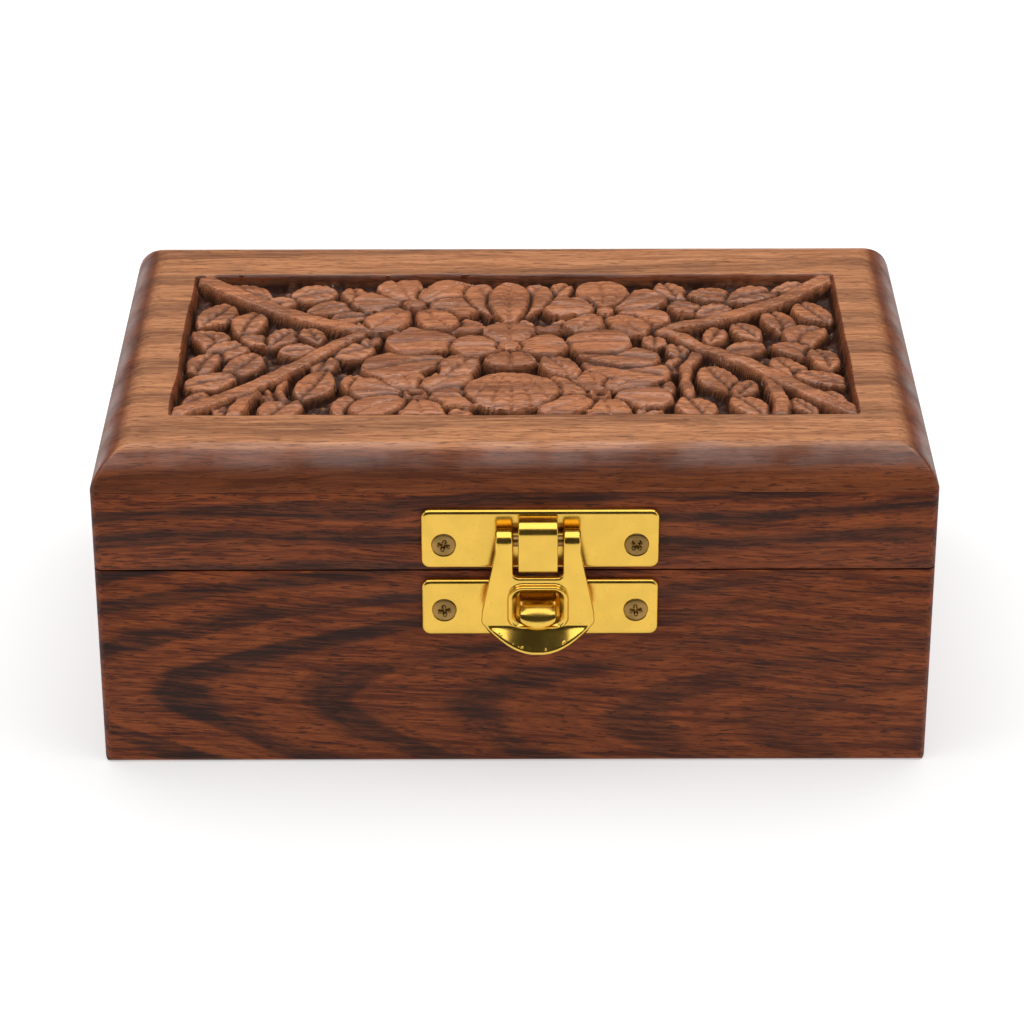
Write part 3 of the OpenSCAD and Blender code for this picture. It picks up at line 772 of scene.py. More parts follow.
for x, y, length, width, bearing, bend in LEAVES:
    leaf(x, y, length, width, bearing, LEAF_TOP, bend)

border = np.clip(0.5 - inside_field / WALL_RUN, 0, 1)
relief = border * (TOP_Z - 0.15 * np.clip(1 + inside_field / 0.5, 0, 1)) + (1 - border) * relief
print(len(LEAVES), "leaves")

# %% [markdown]
# A thick branch leaves each corner and thins towards the middle. Short stems cross to the front
# border on both sides, and one thin branch ties the two halves together behind the centre.

# %% Branches
branch([(-62, 31), (-55, 25), (-50, 20.5), (-45, 16), (-40, 12.5), (-35, 9.5), (-30, 7.5),
        (-25, 6.5), (-20, 7.0)], 4.6, taper=0.75)
branch([(-48, -20), (-51, -32)], 3.6)
branch([(-42, -13), (-43, -19), (-42, -23)], 2.2, LEAF_TOP)
branch([(-62, -31), (-55, -25), (-50, -20.5), (-45, -15), (-40, -9), (-37, -5), (-33, 1),
        (-29, 5)], 4.2, taper=0.7)
branch([(62, 31), (57, 25.8), (52, 20.3), (45, 15.5), (40, 12), (35, 9.5), (30, 8), (26, 8)],
       4.4, taper=0.75)
branch([(47, -15), (48.5, -25), (48, -32)], 3.4)
branch([(35, -2), (32, -9), (31.5, -16), (32, -21)], 2.8, LEAF_TOP)
branch([(62, -31), (55, -22.8), (50, -16.3), (45, -10), (40, -5.5), (35, -1), (31, 4),
        (27, 7)], 4.2, taper=0.7)
branch([(-20, 7), (-8, 8), (2, 7.5), (14, 8.5), (26, 8)], 3.0, LEAF_TOP)
print("highest bark", round(float(relief[inside_field > 1].max()), 2))

# %% [markdown]
# The flowers stand highest and go in last. Each petal is placed by its own middle, since the
# carver drew them by eye and no two are alike. In the middle a tulip stands behind a small
# four-petal flower, and a broad ribbed petal hangs in front of it.

# %% Flowers, broad petals and the tulip
flower(-19, 18.5, ((-26, 19.5, 8), (-21.5, 25.5, 8.5), (-13.5, 24.5, 8), (-11.5, 17.5, 7.5),
                   (-23.5, 12, 7.5), (-15, 12, 7)), 2.4)
flower(17.5, 15.5, ((24.5, 12.5, 7.5), (24, 20, 8), (17, 23.5, 9.5), (10.5, 17.5, 8),
                    (14, 9.8, 7), (21.5, 9, 6.5)), 2.0)
flower(-18, -21.5, ((-25, -19.5, 8), (-20, -15, 7.5), (-12.5, -16, 7.5), (-10.8, -23, 7.5),
                    (-17, -28.5, 8), (-24.5, -26.5, 7)), 2.3, 1.1)
flower(15.8, -21.5, ((9, -19, 8), (14.5, -15, 7.5), (21.5, -16.2, 7.5), (23.5, -23, 7.5),
                     (17, -28.3, 8), (9.5, -26.5, 7)), 2.3, 1.1)
petal(-20.5, -8, 17, 11, 200, PETAL_TOP - 0.3, 2)
petal(-17, 1.2, 15, 10.5, 185, PETAL_TOP, 2)
petal(20.5, -10.5, 18, 10, -20, PETAL_TOP - 0.4, 2)
petal(19.5, -5, 16.5, 8.5, -12, PETAL_TOP - 0.15, 2)
petal(15.5, 1.0, 14, 10.5, 5, PETAL_TOP, 2)
leaf(-10, -9, 11.5, 7, 60, PETAL_TOP - 0.1)
leaf(8.3, -9.5, 11.5, 7, 118, PETAL_TOP - 0.1)
petal(-5.2, 21, 15, 7.5, 102, PETAL_TOP - 0.2, 2)
petal(3.4, 21, 15, 7.5, 78, PETAL_TOP - 0.2, 2)
petal(-0.9, 19.5, 18.5, 8.0, 90, PETAL_TOP + 0.1, 3)
petal(-6.6, -0.8, 10.5, 9.5, 180, PETAL_TOP, 2)
petal(5.0, -0.6, 10.5, 9.5, 0, PETAL_TOP, 2)
petal(-0.9, 5.2, 8.5, 10.5, 90, PETAL_TOP + 0.1, 2)
petal(-0.7, -6.8, 8.0, 10.5, -90, PETAL_TOP + 0.1, 2)
boss(-0.8, -1.0, 2.2, PETAL_TOP + 0.15)
petal(-0.5, -20, 16.5, 17.5, -90, PETAL_TOP, 6, 0.05)
hem = np.hypot((X + 0.5) / 1.05, Y + 18) - 9.3
relief -= 0.9 * np.exp(-(hem / 0.4) ** 2) * (Y < -21)
print("highest petal", round(float(relief[inside_field > 1].max()), 2))

# %% [markdown]
# The last strokes of sandpaper soften what the gouge left. Each point moves part of the way to
# the mean of the points round it.

# %% Sanding
SANDING = 0.4

neighbours = np.pad(relief, 1, mode="edge")
sanded = sum(neighbours[dj:dj + relief.shape[0], di:di + relief.shape[1]]
             for dj in range(3) for di in range(3)) / 9
relief = np.minimum((1 - SANDING) * relief + SANDING * sanded, TOP_Z)
print("lowest ground", round(float(relief.min()), 2), "highest leaf", round(float(relief.max()), 2))

# %% [markdown]
# ### The plank round the carving
#
# The carving becomes part of one closed plank. Its grid is joined to the flat border by wide
# faces, and the border runs out to a rounded shoulder: an arc that meets both the top and the
# wall at a slight crease, as a moulding cutter leaves it.

# %% Outline of the plank
ARC_RADIUS = 8.569
ARC_INSET = 8.381
CORNER = 1.7
INNER_CORNER = 0.8
ARC_STEPS = 12
CORNER_POINTS = 5


def rounded_rectangle(half_w, half_d, corner, across_steps, depth_steps):
    """Counter-clockwise ring from the front left."""
    ring = []
    for side, steps in enumerate((across_steps, depth_steps, across_steps, depth_steps)):
        turn = side * math.pi / 2
        reach, out = (half_w, half_d) if side % 2 == 0 else (half_d, half_w)
        for k in range(steps + 1):
            a = (reach - corner) * (2 * k / steps - 1)
            ring.append((a * math.cos(turn) + out * math.sin(turn),
                         a * math.sin(turn) - out * math.cos(turn)))
        for k in range(1, CORNER_POINTS + 1):
            bend = turn - math.pi / 2 + math.pi / 2 * k / (CORNER_POINTS + 1)
            a, b = reach - corner, out - corner
            ring.append((a * math.cos(turn) + b * math.sin(turn) + corner * math.cos(bend),
                         a * math.sin(turn) - b * math.cos(turn) + corner * math.sin(bend)))
    return np.array(ring)


def plank_rings():
    """Rings from the carving's edge over the shoulder and down to the underside."""
    steep = math.asin(ARC_INSET / ARC_RADIUS)
    arc_z = TOP_Z - ARC_INSET
    low_z = plank_low[2]
    first_inset = ARC_INSET - ARC_RADIUS * math.cos(steep)
    levels = [(first_inset + 0.5, TOP_Z), (first_inset + 0.08, TOP_Z)]
    for k in range(ARC_STEPS + 1):
        angle = steep + (math.pi / 2 - 2 * steep) * k / ARC_STEPS
        level = (ARC_INSET - ARC_RADIUS * math.cos(angle), arc_z + ARC_RADIUS * math.sin(angle))
        levels.append(level)
    levels[2] = (levels[2][0] + 0.01, TOP_Z - 0.015)
    levels += [(0.0, low_z + 0.14), (0.05, low_z + 0.04), (0.16, low_z), (0.3, low_z)]
    rings = []
    for inset, z in levels:
        flat = rounded_rectangle(HALF_W - inset, HALF_D - inset,
                                 max(CORNER - inset, INNER_CORNER),
                                 CELLS_X // SIDE_STEP, CELLS_Y // SIDE_STEP)
        rings.append(np.column_stack([flat, np.full(len(flat), z)]))
    return rings


def bridge(first, second, count):
    """Quads between two rings that start at these indices."""
    return [(first + k, first + (k + 1) % count, second + (k + 1) % count, second + k)
            for k in range(count)]


print("plank outline:", len(plank_rings()), "rings")

# %% [markdown]
# The carving's grid is finer than the border needs, so each border face takes in four steps of
# the grid. That keeps the skin closed without a single spare point.

# %% Mesh of the plank


def build_plank():
    """Points and faces of the carving, the border, the shoulder and the underside."""
    columns = CELLS_X + 1
    points = np.column_stack([X.ravel(), Y.ravel(), relief.ravel()])
    faces = []
    for j in range(CELLS_Y):
        start = j * columns
        faces += [(start + i, start + i + 1, start + i + 1 + columns, start + i + columns)
                  for i in range(CELLS_X)]
    rings = plank_rings()
    count = len(rings[0])
    first = len(points)
    sides = (
        [i for i in range(columns)],
        [CELLS_X + j * columns for j in range(CELLS_Y + 1)],
        [CELLS_Y * columns + i for i in range(CELLS_X, -1, -1)],
        [j * columns for j in range(CELLS_Y, -1, -1)],
    )
    at = first
    for edge in sides:
        for k in range(0, len(edge) - 1, SIDE_STEP):
            outer = (at + k // SIDE_STEP, at + k // SIDE_STEP + 1)
            faces.append(outer + tuple(edge[k + n] for n in range(SIDE_STEP, -1, -1)))
        at += (len(edge) - 1) // SIDE_STEP
        last = at + CORNER_POINTS + 1
        arc = [first + (k - first) % count for k in range(at, last + 1)]
        faces.append(tuple(arc) + (edge[-1],))
        at = last
    for k in range(len(rings) - 1):
        faces += bridge(first + k * count, first + (k + 1) * count, count)
    bottom = first + (len(rings) - 1) * count
    faces.append(tuple(bottom + k for k in range(count))[::-1])
    return np.vstack([points] + rings), faces


plank_points, plank_faces = build_plank()
print("plank:", len(plank_points), "points")

# %% [markdown]
# Wax and dust stay dark in the hollows, and shade falls there as well, so the hollows are darkened
# with grime and with painted shade. Each point of the carving therefore remembers how far it lies
# below the points near it, below the points farther off, and below the tops.

# %% Dark hollows
LEAF_LEVEL = 61.15
NEAR_REACH = 2
FAR_REACH = 6


def blurred(values, reach):
    """A plain moving average over the grid, three times."""
    kernel = np.ones(2 * reach + 1) / (2 * reach + 1)
    out = values
    for _ in range(3):
        for axis in (0, 1):
            padded = np.apply_along_axis(lambda line: np.pad(line, reach, "edge"), axis, out)
            out = np.apply_along_axis(np.convolve, axis, padded, kernel, "valid")
    return out


hidden = np.clip((blurred(relief, NEAR_REACH) - relief) / 0.9, -0.6, 1)
wide = np.clip((blurred(relief, FAR_REACH) - relief) / 1.6, 0, 1)
depth = np.clip((LEAF_LEVEL - relief) / 1.25, 0, 1)
# Share of darkness in the hollows: grime, and painted shade where the hollows would lie in shadow.
grime_and_shade_share = np.clip(0.75 * hidden + 0.35 * wide + 0.80 * depth, 0, 0.97)
print("share of the field in shadow", round(float((grime_and_shade_share > 0.5).mean()), 2))

# %% [markdown]
# The plank is coloured lighter and more orange than the walls, mostly as painted light for its top,
# which the light from above strikes hardest. Its shoulder is painted browner than its top, as
# painted shade where it turns away from that light. The carved part is a little redder, dark in its
# hollows from grime and painted shade, and crumbs of pale wax stay in its grooves.

# %% Finish of the carved plank
CARVED_WAX = 0.8
CRUMB_CELLS = 620.0
CRUMB_SHARE = 0.55
# Painted shade: the colour that darkens the shoulder where it turns away from the light above.
SHOULDER_PAINTED_SHADE = (0.40, 0.25, 0.17, 1)
CARVED_TINT = (0.92, 0.80, 0.78, 1)
# Colour of the grime in the hollows and of the painted shade there.
GRIME_AND_SHADE = (0.036, 0.0115, 0.006, 1)
WAX_CRUMB = (0.55, 0.42, 0.38, 1)

carved_wood, carved_tree, carved_shader = new_material("carved rosewood")
where = node(carved_tree, "ShaderNodeTexCoord").outputs["Object"]
board_mm = node(carved_tree, "ShaderNodeMapping", {
    "Vector": where, "Location": (0, 96, -40), "Scale": (1 / MM,) * 3}, vector_type="POINT")
# The plank's lighter colours are mostly painted light for its brightly lit top.
wood = node(carved_tree, "ShaderNodeGroup", {
    "Vector": board_mm.outputs[0], "Cone": 0.05, "Layer Seed": 21.0, "Layer Spacing": 13.0,
    "Layers": 0.5, "Streaks": 0.9, "Pores": 0.8, "Wander": 2.0,
    "Light": (0.68, 0.295, 0.130, 1), "Middle": (0.37, 0.137, 0.056, 1),
    "Dark": (0.10, 0.036, 0.018, 1)}, node_tree=figure)
# Attribute that carries the grime and the painted shade of the hollows.
grime_and_shade = node(carved_tree, "ShaderNodeAttribute", attribute_name="grime_and_shade").outputs["Fac"]
carved = node(carved_tree, "ShaderNodeAttribute", attribute_name="carved").outputs["Fac"]
carved_wax = node(carved_tree, "ShaderNodeGroup", {"Fac": CARVED_WAX}, node_tree=polish)
# Painted shade on the shoulder, outside the carving, where it faces away from the light above.
shoulder_painted_shade = calc(carved_tree, "MULTIPLY", calc(carved_tree, "SUBTRACT", 1.0,
                                              carved_wax.outputs["Painted Top Light"]),
                calc(carved_tree, "SUBTRACT", 1.0, carved))
with_shoulder_shade = blend_colour(carved_tree, shoulder_painted_shade, wood.outputs["Color"], SHOULDER_PAINTED_SHADE, "MULTIPLY")
redder = blend_colour(carved_tree, calc(carved_tree, "MULTIPLY", carved, 0.9), with_shoulder_shade,
                      CARVED_TINT, "MULTIPLY")
# Grime and painted shade darken the hollows.
grimed_and_shaded = blend_colour(carved_tree, grime_and_shade, redder, GRIME_AND_SHADE)
crumb = node(carved_tree, "ShaderNodeTexNoise", {
    "Vector": where, "Scale": CRUMB_CELLS, "Detail": 3.0, "Roughness": 0.6}).outputs["Fac"]
crumbs = calc(carved_tree, "MULTIPLY", fade(carved_tree, crumb, 0.67, 0.73),
              calc(carved_tree, "MULTIPLY", carved, CRUMB_SHARE))
waxed = blend_colour(carved_tree, crumbs, grimed_and_shaded, WAX_CRUMB)
carved_bump = node(carved_tree, "ShaderNodeBump", {
    "Height": wood.outputs["Height"], "Strength": PORE_BUMP, "Distance": 0.15 * MM})
carved_tree.links.new(waxed, carved_shader.inputs["Base Color"])
carved_tree.links.new(carved_bump.outputs["Normal"], carved_shader.inputs["Normal"])
carved_tree.links.new(carved_wax.outputs["Roughness"], carved_shader.inputs["Roughness"])
carved_tree.links.new(
    calc(carved_tree, "MULTIPLY", carved_wax.outputs["Coat"],
         calc(carved_tree, "SUBTRACT", 1.0, grime_and_shade)),
    carved_shader.inputs["Coat Weight"])
carved_shader.inputs["Specular IOR Level"].default_value = 0.2
carved_shader.inputs["Coat Roughness"].default_value = 0.28

print("carved plank finish:", len(carved_tree.nodes), "nodes")

# %% [markdown]
# The plank is made as one mesh. Two attributes go with it: how much grime and painted shade each
# point holds, and whether it lies inside the carved field.

# %% Lay the plank


def store(piece, label, values):
    """Keeps one number per point on the mesh, zero for the points past the list."""
    every = np.zeros(len(piece.data.vertices))
    every[:len(values)] = values
    kept = piece.data.attributes.new(label, "FLOAT", "POINT")
    kept.data.foreach_set("value", every)


plank = make_piece("carved_plank", plank_points, plank_faces, carved_wood, 50)
# Grime and painted shade for each point of the carved field.
store(plank, "grime_and_shade", grime_and_shade_share.ravel())
store(plank, "carved", np.clip((inside_field + 0.1) / 0.3, 0, 1).ravel())
settle(plank, "lid", "carved_rosewood", "lid_top_panel")

# %% [markdown]
# ## Brass
#
# The latch is stamped from brass sheet: blanked, its edges tumbled round, bent, and then
# polished and lacquered. Its colour comes from what it mirrors, so it needs very little
# pattern: a faint mottling, slightly uneven lacquer and a few pits.

# %% Brass finishes
CLOUD_CELLS = 260.0
PIT_CELLS = 4200.0
WAVE_CELLS = 190.0
PIT_COLOUR = (0.20, 0.10, 0.02, 1)


def brass(name, colour, roughness, mottle, pits):
    """A brass finish. mottle and pits are shares from 0 to 1."""
    made, tree, shader = new_material(name)
    where = node(tree, "ShaderNodeTexCoord").outputs["Object"]
    cloud = node(tree, "ShaderNodeTexNoise", {"Vector": where, "Scale": CLOUD_CELLS, "Detail": 4.0})
    pit = node(tree, "ShaderNodeTexNoise", {"Vector": where, "Scale": PIT_CELLS, "Detail": 1.0})
    wave = node(tree, "ShaderNodeTexNoise", {"Vector": where, "Scale": WAVE_CELLS, "Detail": 1.0})
    tone = fade(tree, cloud.outputs["Fac"], 0.3, 0.7)
    dull = tuple(c * (1 - mottle) for c in colour[:3]) + (1,)
    mixed = blend_colour(tree, tone, dull, colour)
    spots = calc(tree, "MULTIPLY", fade(tree, pit.outputs["Fac"], 0.72, 0.78), pits)
    spotted = blend_colour(tree, spots, mixed, PIT_COLOUR)
    rough = calc(tree, "ADD", roughness, calc(tree, "MULTIPLY", tone, 0.06))
    bump = node(tree, "ShaderNodeBump", {
        "Height": calc(tree, "SUBTRACT", wave.outputs["Fac"], calc(tree, "MULTIPLY", spots, 0.4)),
        "Strength": 0.5, "Distance": 0.06 * MM})
    tree.links.new(spotted, shader.inputs["Base Color"])
    tree.links.new(rough, shader.inputs["Roughness"])
    tree.links.new(bump.outputs["Normal"], shader.inputs["Normal"])
    shader.inputs["Metallic"].default_value = 1.0
    return made


polished_brass = brass("polished brass", (0.80, 0.50, 0.088, 1), 0.17, 0.10, 0.6)
hinge_brass = brass("hinge brass", (0.62, 0.40, 0.12, 1), 0.30, 0.20, 0.5)
dull_brass = brass("dull screw brass", (0.40, 0.24, 0.075, 1), 0.33, 0.40, 0.9)
print("brass finishes:", polished_brass.name, hinge_brass.name, dull_brass.name)

# %% [markdown]
# ## Cutting and bending sheet
#
# Every stamped piece starts flat, and its outline is given by a few corners with their radii. The
# outline is walked at an even pace, so that the triangles beside it come out even too.

# %% Outlines
HOLE_POINTS = 40
CORNER_SHARES = 16


def hole_outline(x, z, radius):
    """A circle that runs clockwise, since it bounds a hole."""
    turn = np.linspace(0, -math.tau, HOLE_POINTS, endpoint=False)
    return np.column_stack([x + radius * np.cos(turn), z + radius * np.sin(turn)])


def smooth_outline(corners, spacing):
    """Closed outline through (x, z, radius) corners, each rounded, with even points."""
    corners = np.array(corners, float)
    path = []
    for k, (x, z, radius) in enumerate(corners):
        here = np.array([x, z])
        back = corners[k - 1, :2] - here
        ahead = corners[(k + 1) % len(corners), :2] - here
        back /= np.linalg.norm(back)
        ahead /= np.linalg.norm(ahead)
        half = math.acos(np.clip(np.dot(back, ahead), -1, 1)) / 2
        reach = radius / math.tan(half)
        middle = here + (back + ahead) / np.linalg.norm(back + ahead) * radius / math.sin(half)
        start, end = here + back * reach - middle, here + ahead * reach - middle
        a0, a1 = math.atan2(start[1], start[0]), math.atan2(end[1], end[0])
        sweep = (a1 - a0 + math.pi) % math.tau - math.pi
        for share in np.linspace(0, 1, CORNER_SHARES):
            angle = a0 + sweep * share
            path.append(middle + radius * np.array([math.cos(angle), math.sin(angle)]))
    closed = np.array(path + path[:1])
    walked = np.concatenate([[0], np.cumsum(np.linalg.norm(np.diff(closed, axis=0), axis=1))])
    even = np.linspace(0, walked[-1], int(walked[-1] / spacing), endpoint=False)
    return np.column_stack([np.interp(even, walked, closed[:, k]) for k in (0, 1)])


def offset_ring(ring, distance):
    """The outline moved sideways into the metal, which lies on its left."""
    before = ring - np.roll(ring, 1, axis=0)
    after = np.roll(ring, -1, axis=0) - ring
    before /= np.linalg.norm(before, axis=1)[:, None]
    after /= np.linalg.norm(after, axis=1)[:, None]
    normal_a = np.column_stack([-before[:, 1], before[:, 0]])
    normal_b = np.column_stack([-after[:, 1], after[:, 0]])
    share = 1 + np.sum(normal_a * normal_b, axis=1)
    return ring + distance * (normal_a + normal_b) / np.maximum(share, 0.3)[:, None]


sample = smooth_outline([(0, 0, 1), (10, 0, 1), (10, 5, 1), (0, 5, 1)], 0.5)
print("a 10 by 5 mm blank with round corners has", len(sample), "outline points")

# %% [markdown]
# A blank is measured across, up and through its thickness, from the back to the front. Each edge
# follows a profile, as tumbling rounds it. Both faces are filled with small triangles, so that
# the sheet can bend anywhere, and then a bending rule carries each point to its place.

# %% Cutting a blank
RIM_CLEARANCE = 0.8
BACK_ROUND = 0.12
EDGE_STEPS = 6


def points_inside(points, loops):
    """True for points inside an odd number of loops."""
    odd = np.zeros(len(points), bool)
    for ring in loops:
        a, b = ring, np.roll(ring, -1, axis=0)
        for (ax, ay), (bx, by) in zip(a, b):
            crosses = (ay > points[:, 1]) != (by > points[:, 1])
            reach = ax + (points[:, 1] - ay) * (bx - ax) / ((by - ay) or 1e-12)
            odd ^= crosses & (points[:, 0] < reach)
    return odd


def fill_loops(loops, step):
    """Points and triangles that fill the space between closed loops."""
    rim = np.vstack(loops)
    low, high = rim.min(axis=0), rim.max(axis=0)
    columns = np.arange(low[0] + step / 2, high[0], step)
    rows = np.arange(low[1] + step / 2, high[1], step)
    spread = np.stack(np.meshgrid(columns, rows), -1).reshape(-1, 2)
    away = np.min(np.linalg.norm(spread[:, None, :] - rim[None, :, :], axis=2), axis=1)
    spread = spread[points_inside(spread, loops) & (away > RIM_CLEARANCE * step)]
    points = np.vstack([rim, spread])
    edges = []
    first = 0
    for ring in loops:
        edges += [(first + k, first + (k + 1) % len(ring)) for k in range(len(ring))]
        first += len(ring)
    found = geometry.delaunay_2d_cdt([Vector(p) for p in points], edges, [], 0, 1e-6)
    source = [origin[0] for origin in found[3]]
    triangles = np.array([[source[i] for i in face] for face in found[2]])
    middles = points[triangles].mean(axis=1)
    return spread, triangles[points_inside(middles, loops)]


def cut_sheet(loops, profiles, step, rule):
    """A bent sheet. profiles holds (inset, height) pairs from back to front for each loop."""
    rings, faces, fronts, backs = [], [], [], []
    first = 0
    for ring, profile in zip(loops, profiles):
        for k, (inset, through) in enumerate(profile):
            flat = offset_ring(ring, inset)
            rings.append(np.column_stack([flat, np.full(len(flat), through)]))
            if k:
                faces += bridge(first + (k - 1) * len(ring), first + k * len(ring), len(ring))
        backs.append((first, offset_ring(ring, profile[0][0])))
        fronts.append((first + (len(profile) - 1) * len(ring), offset_ring(ring, profile[-1][0])))
        first += len(profile) * len(ring)
    for side, through in ((backs, profiles[0][0][1]), (fronts, profiles[0][-1][1])):
        spread, triangles = fill_loops([flat for _, flat in side], step)
        index = []
        for start, flat in side:
            index += range(start, start + len(flat))
        index += range(first, first + len(spread))
        rings.append(np.column_stack([spread, np.full(len(spread), through)]))
        first += len(spread)
        faces += [tuple(index[i] for i in triangle) for triangle in triangles]
    return rule(np.vstack(rings)), faces


def rounded_edge(thickness, front_round, support=0.06):
    """Edge profile of a tumbled blank: a small round behind, a large one in front."""
    profile = [(BACK_ROUND + support, 0.0), (BACK_ROUND, 0.0)]
    for k in range(1, 3):
        angle = math.pi / 4 * k
        profile.append((BACK_ROUND * (1 - math.sin(angle)), BACK_ROUND * (1 - math.cos(angle))))
    tall = min(front_round, thickness - BACK_ROUND - 0.02)
    for k in range(EDGE_STEPS + 1):
        angle = math.pi / 2 * k / EDGE_STEPS
        profile.append((front_round * (1 - math.cos(angle)),
                        thickness - tall + tall * math.sin(angle)))
    profile.append((front_round + support, thickness))
    return profile


def joined(*shells):
    """Several closed shells as one mesh, where one part grows out of another."""
    points, faces = [], []
    for shell_points, shell_faces in shells:
        first = sum(len(p) for p in points)
        points.append(np.asarray(shell_points))
        faces += [tuple(first + i for i in face) for face in shell_faces]
    return np.vstack(points), faces


print("edge profile:", len(rounded_edge(1.0, 0.5)), "points from back to front")

# %% [markdown]
# ## Latch plates
#
# The two plates are plain strips with round corners and a countersunk hole at each end. The
# lower one is screwed to the base and the upper one to the lid.

# %% Blanks of the latch plates
PLATE_FRONT = -51.1
LATCH_X = (upper_low[0] + upper_high[0]) / 2
SCREW_REACH = 17.1
UPPER_SCREW_Z = 45.2
LOWER_SCREW_Z = 32.1
PLATE_T = 1.1
PLATE_CORNER = 1.6
PLATE_ROUND = 0.85
OUTLINE_STEP = 0.35
FILL_STEP = 1.2
HOLE_R = 0.95
# Countersink from the back to the front: how far out from the hole's edge, how far forward
COUNTERSINK = [(0.06, 0.0), (0.0, 0.0), (0.0, 0.25), (1.26, 1.04), (1.34, PLATE_T), (1.42, PLATE_T)]


def flat_plate(points):
    """Stands a blank up against the box's front without bending it."""
    return np.column_stack([points[:, 0], PLATE_FRONT + PLATE_T - points[:, 2], points[:, 1]])


def plate_shell(low, high, screw_z):
    """A plate between two CAD corners, with two countersunk holes."""
    corners = [(low[0], low[2]), (high[0], low[2]), (high[0], high[2]), (low[0], high[2])]
    outline = smooth_outline([(x, z, PLATE_CORNER) for x, z in corners], OUTLINE_STEP)
    holes = [hole_outline(LATCH_X + side * SCREW_REACH, screw_z, HOLE_R) for side in (-1, 1)]
    profiles = [rounded_edge(PLATE_T, PLATE_ROUND)] + [COUNTERSINK] * 2
    return cut_sheet([outline] + holes, profiles, FILL_STEP, flat_plate)


upper_blank = plate_shell(upper_low, upper_high, UPPER_SCREW_Z)
lower_blank = plate_shell(lower_low, lower_high, LOWER_SCREW_Z)
print("plates:", len(upper_blank[0]), "and", len(lower_blank[0]), "points")

# %% [markdown]
# The strap is a tongue of the upper plate. It comes forward over the hasp's pin and down in
# front of it, so the pin can't come away. It is made from its side view, carried across.

# %% Strap and both plates
HASP_X = (hasp_low[0] + hasp_high[0]) / 2
STRAP_TOP = 51.15
STRAP_BOTTOM = 41.7
STRAP_FRONT = -55.65
STRAP_BEND = 2.15
STRAP_HALF = 3.5
STRAP_EDGE = 0.3
ROOT_SUNK = 0.1


def loft(rings):
    """A closed shell through rings of equal length, capped at both ends."""
    count = len(rings[0])
    faces = []
    for k in range(len(rings) - 1):
        faces += bridge(k * count, (k + 1) * count, count)
    last = (len(rings) - 1) * count
    faces += [tuple(range(count))[::-1], tuple(last + k for k in range(count))]
    return np.vstack(rings), faces


def pressed_bar(outline, half_width, middle_x, edge_round, stations=1, bulge=0.0):
    """A side outline (y, z) carried across in x, its two ends rounded."""
    rings = []
    angles = [math.pi / 2 * k / 4 for k in range(4, -1, -1)]
    ends = [(half_width - edge_round * (1 - math.sin(a)), edge_round * (1 - math.cos(a)))
            for a in angles]
    left = [(-reach, inset) for reach, inset in ends]
    inner = np.linspace(-1, 1, stations + 2)[1:-1] * (half_width - edge_round)
    right = [(reach, inset) for reach, inset in reversed(ends)]
    for x, inset in left + [(v, 0.0) for v in inner] + right:
        flat = offset_ring(outline, inset)
        swell = bulge * (x / half_width) ** 2
        rings.append(np.column_stack([np.full(len(flat), middle_x + x), flat[:, 0] + swell,
                                      flat[:, 1]]))
    return loft(rings)


strap_side = smooth_outline([
    (STRAP_FRONT, STRAP_TOP, STRAP_BEND), (STRAP_FRONT, STRAP_BOTTOM, 0.9),
    (PLATE_FRONT + ROOT_SUNK, STRAP_BOTTOM, 0.12), (PLATE_FRONT + ROOT_SUNK, STRAP_TOP, 0.12)], 0.22)
strap = pressed_bar(strap_side, STRAP_HALF, HASP_X, STRAP_EDGE)
upper_plate = make_piece("upper_plate_and_strap", *joined(upper_blank, strap), polished_brass, 60)
settle(upper_plate, "lid", "polished_brass", "upper_latch_plate")
lower_plate = make_piece("lower_plate", *lower_blank, polished_brass, 60)
settle(lower_plate, "base", "polished_brass", "lower_latch_plate")

# %% [markdown]
# ## Spring catch
#
# The catch is a springy tongue, bent forward and down so that the hasp's window rides over its
# round back and snaps behind it. It is pressed a little hollow from side to side, which makes
# it stiff and gives it its curved glint.

# %% Side view of the catch
CATCH_T = 0.8
CATCH_TIP = (catch_low[1] + 0.15, catch_low[2])
# From the tip upwards: length of each stretch, and how far its outer face looks up at its ends
CATCH_STRETCHES = ((1.6, -28, 13), (1.3, 13, 41), (2.2, 41, 58), (1.1, 58, 88))
CATCH_STEPS = 7


def catch_outline():
    """Side view of the tongue: a flat root, a long slope, a round nose and a rounded tip."""
    y, z = CATCH_TIP
    outer, inner = [], []
    for length, start, end in CATCH_STRETCHES:
        for k in range(CATCH_STEPS):
            look = math.radians(start + (end - start) * k / CATCH_STEPS)
            outer.append((y, z))
            inner.append((y + CATCH_T * math.cos(look), z - CATCH_T * math.sin(look)))
            y += length / CATCH_STEPS * math.sin(look)
            z += length / CATCH_STEPS * math.cos(look)
    root = PLATE_FRONT + ROOT_SUNK
    outer += [(y, z), (root, z)]
    inner += [(y, z - CATCH_T), (root, z - CATCH_T)]
    tip = (np.array(outer[0]) + np.array(inner[0])) / 2
    across = np.array(inner[0]) - tip
    along = np.array([across[1], -across[0]])
    cap = [tuple(tip + across * math.cos(turn) + along * math.sin(turn))
           for turn in np.linspace(0, math.pi, 7)[1:-1]]
    ring = np.array(outer[::-1] + cap[::-1] + inner)
    ring_next = np.roll(ring, -1, axis=0)
    area = np.sum(ring[:, 0] * ring_next[:, 1] - ring_next[:, 0] * ring[:, 1])
    return ring if area > 0 else ring[::-1]


print("catch: side view of", len(catch_outline()), "points")

# %% [markdown]
# The tongue's end is rounded off at its two corners, so its tip lifts towards each side.

